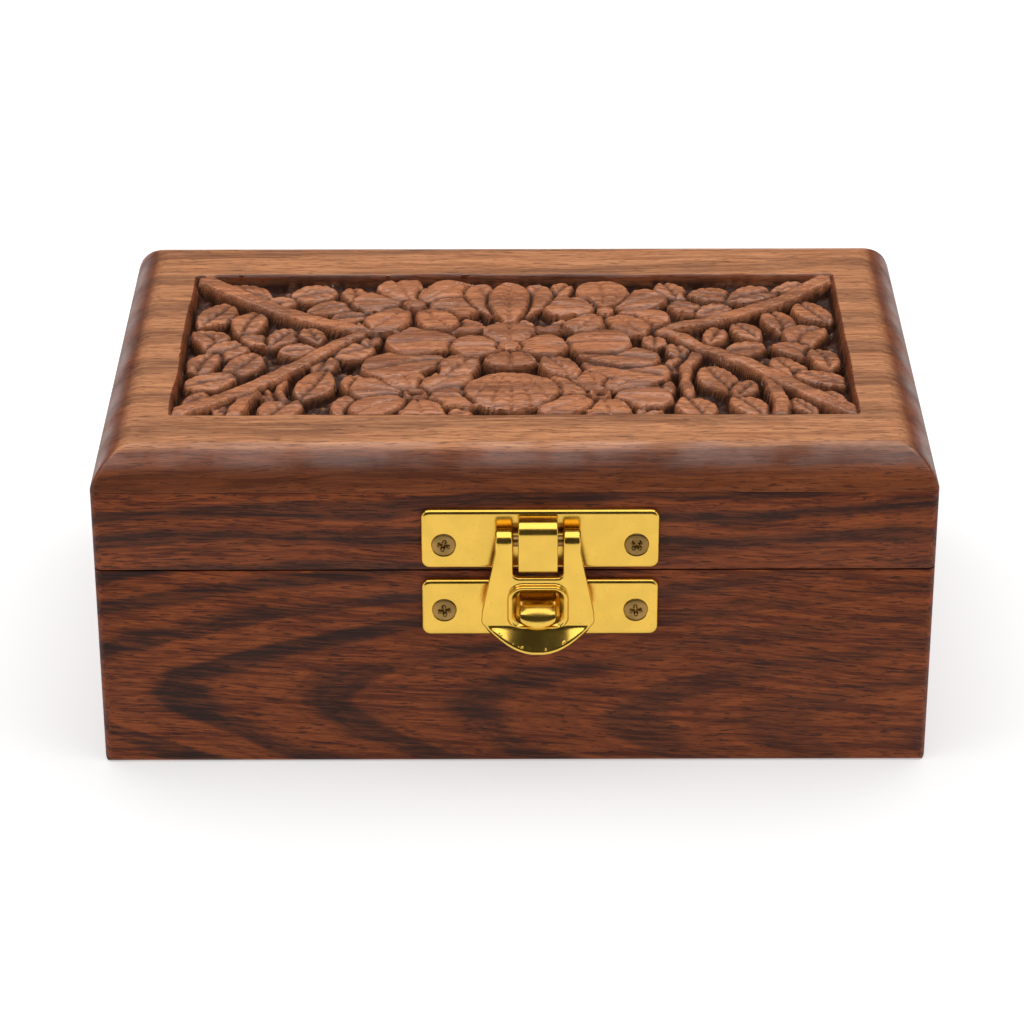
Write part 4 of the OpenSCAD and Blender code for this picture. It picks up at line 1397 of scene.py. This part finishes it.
# %% Spring catch
CATCH_X = (catch_low[0] + catch_high[0]) / 2
CATCH_HALF = (catch_high[0] - catch_low[0]) / 2
CATCH_SHOULDER_Z = 34.4
CATCH_EDGE = 0.32
CATCH_STATIONS = 9
CATCH_BULGE = 0.6
CATCH_TIP_LIFT = 1.0

catch_points, catch_faces = pressed_bar(catch_outline(), CATCH_HALF, CATCH_X, CATCH_EDGE,
                                        CATCH_STATIONS, CATCH_BULGE)
towards_side = np.abs(catch_points[:, 0] - CATCH_X) / CATCH_HALF
below_slope = np.clip((CATCH_SHOULDER_Z - catch_points[:, 2]) / 2.5, 0, 1)
catch_points[:, 2] += CATCH_TIP_LIFT * towards_side**2.5 * below_slope
tongue = make_piece("catch_tongue", catch_points, catch_faces, polished_brass, 70)
settle(tongue, "base", "polished_brass", "spring_catch")

# %% [markdown]
# ## Hasp
#
# The hasp is one stamping. Its blank has two ears with a notch between them for the strap, a
# window for the catch, and a lip to lift it by. The window's edge is drawn forward into a
# rounded collar. The ears are rolled round the pin and the lip is bent out.

# %% Bending rule of the hasp
PIN_Z = PIN[2]
PIN_Y = PIN[1]
ROLL_MID = 1.6
ROLL_TURN = math.radians(280)
BEND_Z = 31.6
BEND_R = 1.3
BEND_TURN = math.radians(35)
BEND_DISH = math.radians(28)
DISH_REACH = 8.5


def hasp_rule(points):
    """Rolls the ears round the pin and bends the lip forward."""
    across, up, through = points[:, 0], points[:, 1], points[:, 2] - PLATE_T / 2
    y = np.full(len(points), PIN_Y - ROLL_MID)
    z = up.copy()
    face_y = np.full(len(points), -1.0)
    face_z = np.zeros(len(points))
    rolled = up > PIN_Z
    angle = (up[rolled] - PIN_Z) / ROLL_MID
    y[rolled] = PIN_Y - ROLL_MID * np.cos(angle)
    z[rolled] = PIN_Z + ROLL_MID * np.sin(angle)
    face_y[rolled] = -np.cos(angle)
    face_z[rolled] = np.sin(angle)
    bent = up < BEND_Z
    most = BEND_TURN + BEND_DISH * np.clip(np.abs(across[bent]) / DISH_REACH, 0, 1) ** 2.5
    turn = np.minimum((BEND_Z - up[bent]) / BEND_R, most)
    beyond = np.maximum(BEND_Z - up[bent] - BEND_R * most, 0)
    y[bent] = PIN_Y - ROLL_MID - BEND_R * (1 - np.cos(turn)) - beyond * np.sin(turn)
    z[bent] = BEND_Z - BEND_R * np.sin(turn) - beyond * np.cos(turn)
    face_y[bent] = -np.cos(turn)
    face_z[bent] = np.sin(turn)
    return np.column_stack([HASP_X + across, y + through * face_y, z + through * face_z])


print("hasp: rolled round the pin at", round(PIN_Z, 2), "and bent out at", BEND_Z)

# %% [markdown]
# The outline is drawn once for the right half and mirrored. The collar's profile rises from the
# window's edge, turns over in a round lip and comes down to the flat of the sheet.

# %% Hasp
LIP_LENGTH = 5.75
LIP_HALF = 10.1
LIP_RISE = 0.2
LIP_CORNER = 1.3
WAIST_X, WAIST_Z = 9.95, 34.0
EAR_OUT = 7.6
EAR_IN = 4.4
EAR_BASE_Z = 45.6
NOTCH_Z = 40.9
EAR_CORNER = 0.7
HASP_ROUND = 0.55
HASP_FILL = 0.42
WINDOW_LOW = 32.4
WINDOW_HIGH = 38.1
WINDOW_HALF = 3.75
WINDOW_CORNER = 1.1
# Collar from the back to the front: how far out from the window's edge, how far forward
COLLAR = [(0.16, 0.0), (0.05, 0.0), (0.0, 0.12), (0.0, 0.8), (0.1, 1.02), (0.3, 1.25),
          (0.62, 1.62), (0.86, 1.88), (1.02, 2.03), (1.2, 2.1), (1.38, 2.05), (1.5, 1.9),
          (1.58, 1.6), (1.66, 1.3), (1.76, 1.16), (1.92, 1.1)]


def lip_outline():
    """Right half of the lip's edge, from the bottom middle up to the bend."""
    half = []
    for share in np.linspace(0, 1, 10)[1:]:
        drop = (LIP_LENGTH + LIP_RISE) * (1 - share**2.1)
        half.append((LIP_HALF * share, BEND_Z + LIP_RISE - drop))
    return half


ear_top = PIN_Z + ROLL_MID * ROLL_TURN
right_side = [(x, z, LIP_CORNER) for x, z in lip_outline()]
right_side += [(WAIST_X, WAIST_Z, 2.0), (EAR_OUT, EAR_BASE_Z, 2.0), (EAR_OUT, ear_top, EAR_CORNER),
               (EAR_IN, ear_top, EAR_CORNER), (EAR_IN, NOTCH_Z, 1.0)]
left_side = [(-x, z, corner) for x, z, corner in right_side[::-1]]
hasp_blank = smooth_outline(right_side + left_side, 0.24)
window = smooth_outline([
    (WINDOW_HALF, WINDOW_HIGH, WINDOW_CORNER), (-WINDOW_HALF, WINDOW_HIGH, WINDOW_CORNER),
    (-WINDOW_HALF, WINDOW_LOW, WINDOW_CORNER), (WINDOW_HALF, WINDOW_LOW, WINDOW_CORNER)],
    0.22)[::-1]
hasp_edge = rounded_edge(PLATE_T, HASP_ROUND, support=0.12)
hasp_shell = cut_sheet([hasp_blank, window], [hasp_edge, COLLAR], HASP_FILL, hasp_rule)
hasp_piece = make_piece("hasp_stamping", *hasp_shell, polished_brass, 60)
settle(hasp_piece, "hasp", "polished_brass", "hasp")
print("hasp in mm", hasp_shell[0].min(axis=0).round(2), hasp_shell[0].max(axis=0).round(2))

# %% [markdown]
# The pin is a plain length of brass wire through the ears and under the strap. It was never
# polished, since only its two ends show.

# %% Hasp pin
PIN_EASE = 0.15

wire = eased_copy("pin_of_the_hasp", "hasp_pin", dull_brass, PIN_EASE)
settle(wire, "lid", "dull_screw_brass", "hasp_pin")

# %% [markdown]
# ## Screws
#
# Twelve small screws hold the plates and the hinges. They are turned on a lathe, so one screw is
# a flat grid wrapped round an axis, with a worn cross pressed into its head. Geometry Nodes
# turns one and sets the rest out in rows, each stopped at its own angle.

# %% A screw as a node group
SCREW_TURNS = 48
SCREW_RINGS = 25
HEAD_SHARE = 0.46
CROSS_DEPTH = 0.36
# Share of the way down the outline, radius as a share of the head, depth as a share of length
SCREW_OUTLINE = (
    (0.0, 0.0, 0.0), (0.10, 0.25, 0.0), (0.30, 0.72, 0.0), (0.44, 0.97, 0.0),
    (0.48, 1.0, 0.02), (0.52, 0.97, 0.05), (0.66, 0.46, 0.26), (0.72, 0.42, 0.32),
    (0.88, 0.40, 0.92), (0.96, 0.0, 1.0), (1.0, 0.0, 1.0),
)


def draw_curve(curve_node, column):
    """Gives a Float Curve node one column of the screw's outline."""
    curve = curve_node.mapping.curves[0]
    while len(curve.points) > 2:
        curve.points.remove(curve.points[-1])
    curve.points[0].location = (SCREW_OUTLINE[0][0], SCREW_OUTLINE[0][column])
    curve.points[1].location = (SCREW_OUTLINE[-1][0], SCREW_OUTLINE[-1][column])
    for row in SCREW_OUTLINE[1:-1]:
        curve.points.new(row[0], row[column])
    for point in curve.points:
        point.handle_type = "VECTOR"
    curve_node.mapping.update()


def turned_screw(tree, inputs):
    """One screw along -Z with its head at the origin. Returns its geometry socket."""
    grid = node(tree, "GeometryNodeMeshGrid", {
        "Size X": 1.0, "Size Y": 1.0, "Vertices X": SCREW_TURNS + 1, "Vertices Y": SCREW_RINGS})
    flat = node(tree, "ShaderNodeSeparateXYZ", {
        0: node(tree, "GeometryNodeInputPosition").outputs[0]}).outputs
    angle = calc(tree, "MULTIPLY", flat[0], math.tau)
    down = calc(tree, "ADD", flat[1], 0.5)
    wide = node(tree, "ShaderNodeFloatCurve", {"Value": down})
    deep = node(tree, "ShaderNodeFloatCurve", {"Value": down})
    draw_curve(wide, 1)
    draw_curve(deep, 2)
    share = wide.outputs[0]
    radius_m = calc(tree, "MULTIPLY", share, inputs["Head Radius"])
    px = calc(tree, "MULTIPLY", radius_m, calc(tree, "COSINE", angle))
    py = calc(tree, "MULTIPLY", radius_m, calc(tree, "SINE", angle))
    on_head = calc(tree, "LESS_THAN", down, HEAD_SHARE)
    dome = calc(tree, "MULTIPLY", calc(tree, "MULTIPLY", inputs["Dome"], on_head),
                calc(tree, "SUBTRACT", 1.0, calc(tree, "POWER", share, 2.0)))
    # The cross: the nearer of the two arms, measured in shares of the head
    ax = calc(tree, "ABSOLUTE", calc(tree, "DIVIDE", px, inputs["Head Radius"]))
    ay = calc(tree, "ABSOLUTE", calc(tree, "DIVIDE", py, inputs["Head Radius"]))
    narrow = calc(tree, "MINIMUM", ax, ay)
    far = calc(tree, "MAXIMUM", ax, ay)
    arm = calc(tree, "MULTIPLY", calc(tree, "SUBTRACT", 1.0, fade(tree, narrow, 0.06, 0.20)),
               calc(tree, "SUBTRACT", 1.0, fade(tree, far, 0.30, 0.58)))
    cross = calc(tree, "MULTIPLY", calc(tree, "MULTIPLY", arm, on_head),
                 calc(tree, "MULTIPLY", inputs["Head Radius"], CROSS_DEPTH))
    pz = calc(tree, "SUBTRACT", calc(tree, "SUBTRACT", dome, cross),
              calc(tree, "MULTIPLY", deep.outputs[0], inputs["Length"]))
    lathe = node(tree, "GeometryNodeSetPosition", {
        "Geometry": grid.outputs["Mesh"],
        "Position": node(tree, "ShaderNodeCombineXYZ", {0: px, 1: py, 2: pz}).outputs[0]})
    closed = node(tree, "GeometryNodeMergeByDistance", {
        "Geometry": lathe.outputs[0], "Distance": MERGE_REACH})
    return closed.outputs[0]


def screw_nodes():
    """The whole group: pairs of screws in rows, each stopped at its own angle."""
    tree = bpy.data.node_groups.new("wood screws", "GeometryNodeTree")
    for label, kind in (("Head Radius", "NodeSocketFloat"), ("Dome", "NodeSocketFloat"),
                        ("Length", "NodeSocketFloat"), ("Row Step", "NodeSocketVector"),
                        ("Rows", "NodeSocketInt"), ("Row Gap", "NodeSocketVector"),
                        ("First", "NodeSocketVector"), ("Facing", "NodeSocketRotation"),
                        ("Seed", "NodeSocketInt"), ("Material", "NodeSocketMaterial")):
        tree.interface.new_socket(label, in_out="INPUT", socket_type=kind)
    tree.interface.new_socket("Geometry", in_out="OUTPUT", socket_type="NodeSocketGeometry")
    inputs = tree.nodes.new("NodeGroupInput").outputs
    pair = node(tree, "GeometryNodeMeshLine", {"Count": 2, "Offset": inputs["Row Step"]})
    groups = node(tree, "GeometryNodeMeshLine", {"Count": inputs["Rows"],
                                                 "Start Location": inputs["First"],
                                                 "Offset": inputs["Row Gap"]})
    rows_of = node(tree, "GeometryNodeInstanceOnPoints", {
        "Points": groups.outputs[0], "Instance": pair.outputs[0]})
    spots = node(tree, "GeometryNodeRealizeInstances", {"Geometry": rows_of.outputs[0]})
    stop = node(tree, "FunctionNodeRandomValue", {3: math.tau, "Seed": inputs["Seed"]})
    spin = node(tree, "FunctionNodeEulerToRotation", {
        0: node(tree, "ShaderNodeCombineXYZ", {2: stop.outputs[1]}).outputs[0]})
    facing = node(tree, "FunctionNodeRotateRotation", {
        0: inputs["Facing"], 1: spin.outputs[0]}, rotation_space="LOCAL")
    placed = node(tree, "GeometryNodeInstanceOnPoints", {
        "Points": spots.outputs[0], "Instance": turned_screw(tree, inputs),
        "Rotation": facing.outputs[0]})
    solid = node(tree, "GeometryNodeRealizeInstances", {"Geometry": placed.outputs[0]})
    smooth = node(tree, "GeometryNodeSetShadeSmooth", {"Geometry": solid.outputs[0]})
    finish = node(tree, "GeometryNodeSetMaterial", {
        "Geometry": smooth.outputs[0], "Material": inputs["Material"]})
    node(tree, "NodeGroupOutput", {0: finish.outputs[0]})
    return tree


SCREW_TREE = screw_nodes()
SOCKET = {s.name: s.identifier for s in SCREW_TREE.interface.items_tree if s.in_out == "INPUT"}
print("screw tree:", len(SCREW_TREE.nodes), "nodes")

# %% [markdown]
# The group is set on an empty holder, worked out and kept as a plain mesh, so that nothing in
# the finished scene still depends on it. The screws of the plates point into the box's front.

# %% Screws of the plates
FRONT_FACING = (math.pi / 2, 0.0, 0.0)
SCREW_CREASE = math.radians(55)
HEAD_R = 2.15 * MM
DOME = 0.25 * MM
screws_low, screws_high = span("upper_plate_screws")


def screw_row(name, **values):
    """Sets the inputs of the screw group, evaluates it and keeps the result as a plain mesh."""
    holder = bpy.data.objects.new(name, bpy.data.meshes.new(name + "_blank"))
    scene.collection.objects.link(holder)
    modifier = holder.modifiers.new("wood screws", "NODES")
    modifier.node_group = SCREW_TREE
    for label, value in values.items():
        modifier[SOCKET[label.replace("_", " ")]] = value
    bpy.context.view_layer.update()
    ready = holder.evaluated_get(bpy.context.evaluated_depsgraph_get())
    mesh = bpy.data.meshes.new_from_object(ready)
    mesh.name = name
    holder.modifiers.remove(modifier)
    holder.data = mesh
    mesh.set_sharp_from_angle(angle=SCREW_CREASE)
    return holder


for name, z, node_name, body, seed in (
    ("screws_of_the_upper_plate", UPPER_SCREW_Z, "upper_plate_screws", "lid", 4),
    ("screws_of_the_lower_plate", LOWER_SCREW_Z, "lower_plate_screws", "base", 9),
):
    row = screw_row(name, Head_Radius=HEAD_R, Dome=DOME,
                    Length=(screws_high[1] - screws_low[1]) * MM - DOME,
                    Row_Step=(2 * SCREW_REACH * MM, 0, 0), Rows=1, Row_Gap=(0, 0, 0),
                    First=((LATCH_X - SCREW_REACH) * MM, screws_low[1] * MM + DOME, z * MM),
                    Facing=FRONT_FACING, Seed=seed, Material=dull_brass)
    settle(row, body, "dull_screw_brass", node_name)

# %% [markdown]
# The screws of the hinges are smaller. Those in the base point down and those in the lid point
# up, since each leaf lies flat on the rim of its own half.

# %% Screws of the hinges
HINGE_HEAD_R = 1.5 * MM
HINGE_DOME = 0.1 * MM
HINGE_SCREW = 5.94 * MM
HINGE_X = 43 * MM
HINGE_SINK = 0.12 * MM
HINGE_SHORTER = 0.15
base_screws_low, base_screws_high = span("hinge_base_screws")
lid_screws_low, lid_screws_high = span("hinge_lid_screws")
HINGE_Y = (base_screws_low[1] + base_screws_high[1]) / 2 * MM

for name, turn, node_name, body, seed, low, high in (
    ("hinge_screws_in_the_base", 0, "hinge_base_screws", "base", 5,
     base_screws_low, base_screws_high),
    ("hinge_screws_in_the_lid", math.pi, "hinge_lid_screws", "lid", 6,
     lid_screws_low, lid_screws_high),
):
    head_z = low[2] * MM + HINGE_SINK if turn else high[2] * MM - HINGE_SINK
    row = screw_row(name, Head_Radius=HINGE_HEAD_R, Dome=HINGE_DOME,
                    Length=(high[2] - low[2] - HINGE_SHORTER) * MM,
                    Row_Step=(2 * HINGE_SCREW, 0, 0), Rows=2, Row_Gap=(2 * HINGE_X, 0, 0),
                    First=(-HINGE_X - HINGE_SCREW, HINGE_Y, head_z),
                    Facing=(turn, 0, 0), Seed=seed, Material=dull_brass)
    settle(row, body, "dull_screw_brass", node_name)

# %% [markdown]
# ## Hinges
#
# The hinges are plain drawn brass butts let into the back rims, each turning on a dull wire pin.
# Their knuckles and leaves keep the CAD form, with edges eased as rolled metal has them.

# %% Hinges
HINGE_EASE = 0.12

for side in ("left", "right"):
    for part, body, look, slot in (
        ("base_leaf", "base", hinge_brass, "hinge_brass"),
        ("lid_leaf", "lid", hinge_brass, "hinge_brass"),
        ("pin", "base", dull_brass, "dull_screw_brass"),
    ):
        source = f"{side}_hinge_{part}"
        settle(eased_copy(source + "_eased", source, look, HINGE_EASE), body, slot, source)
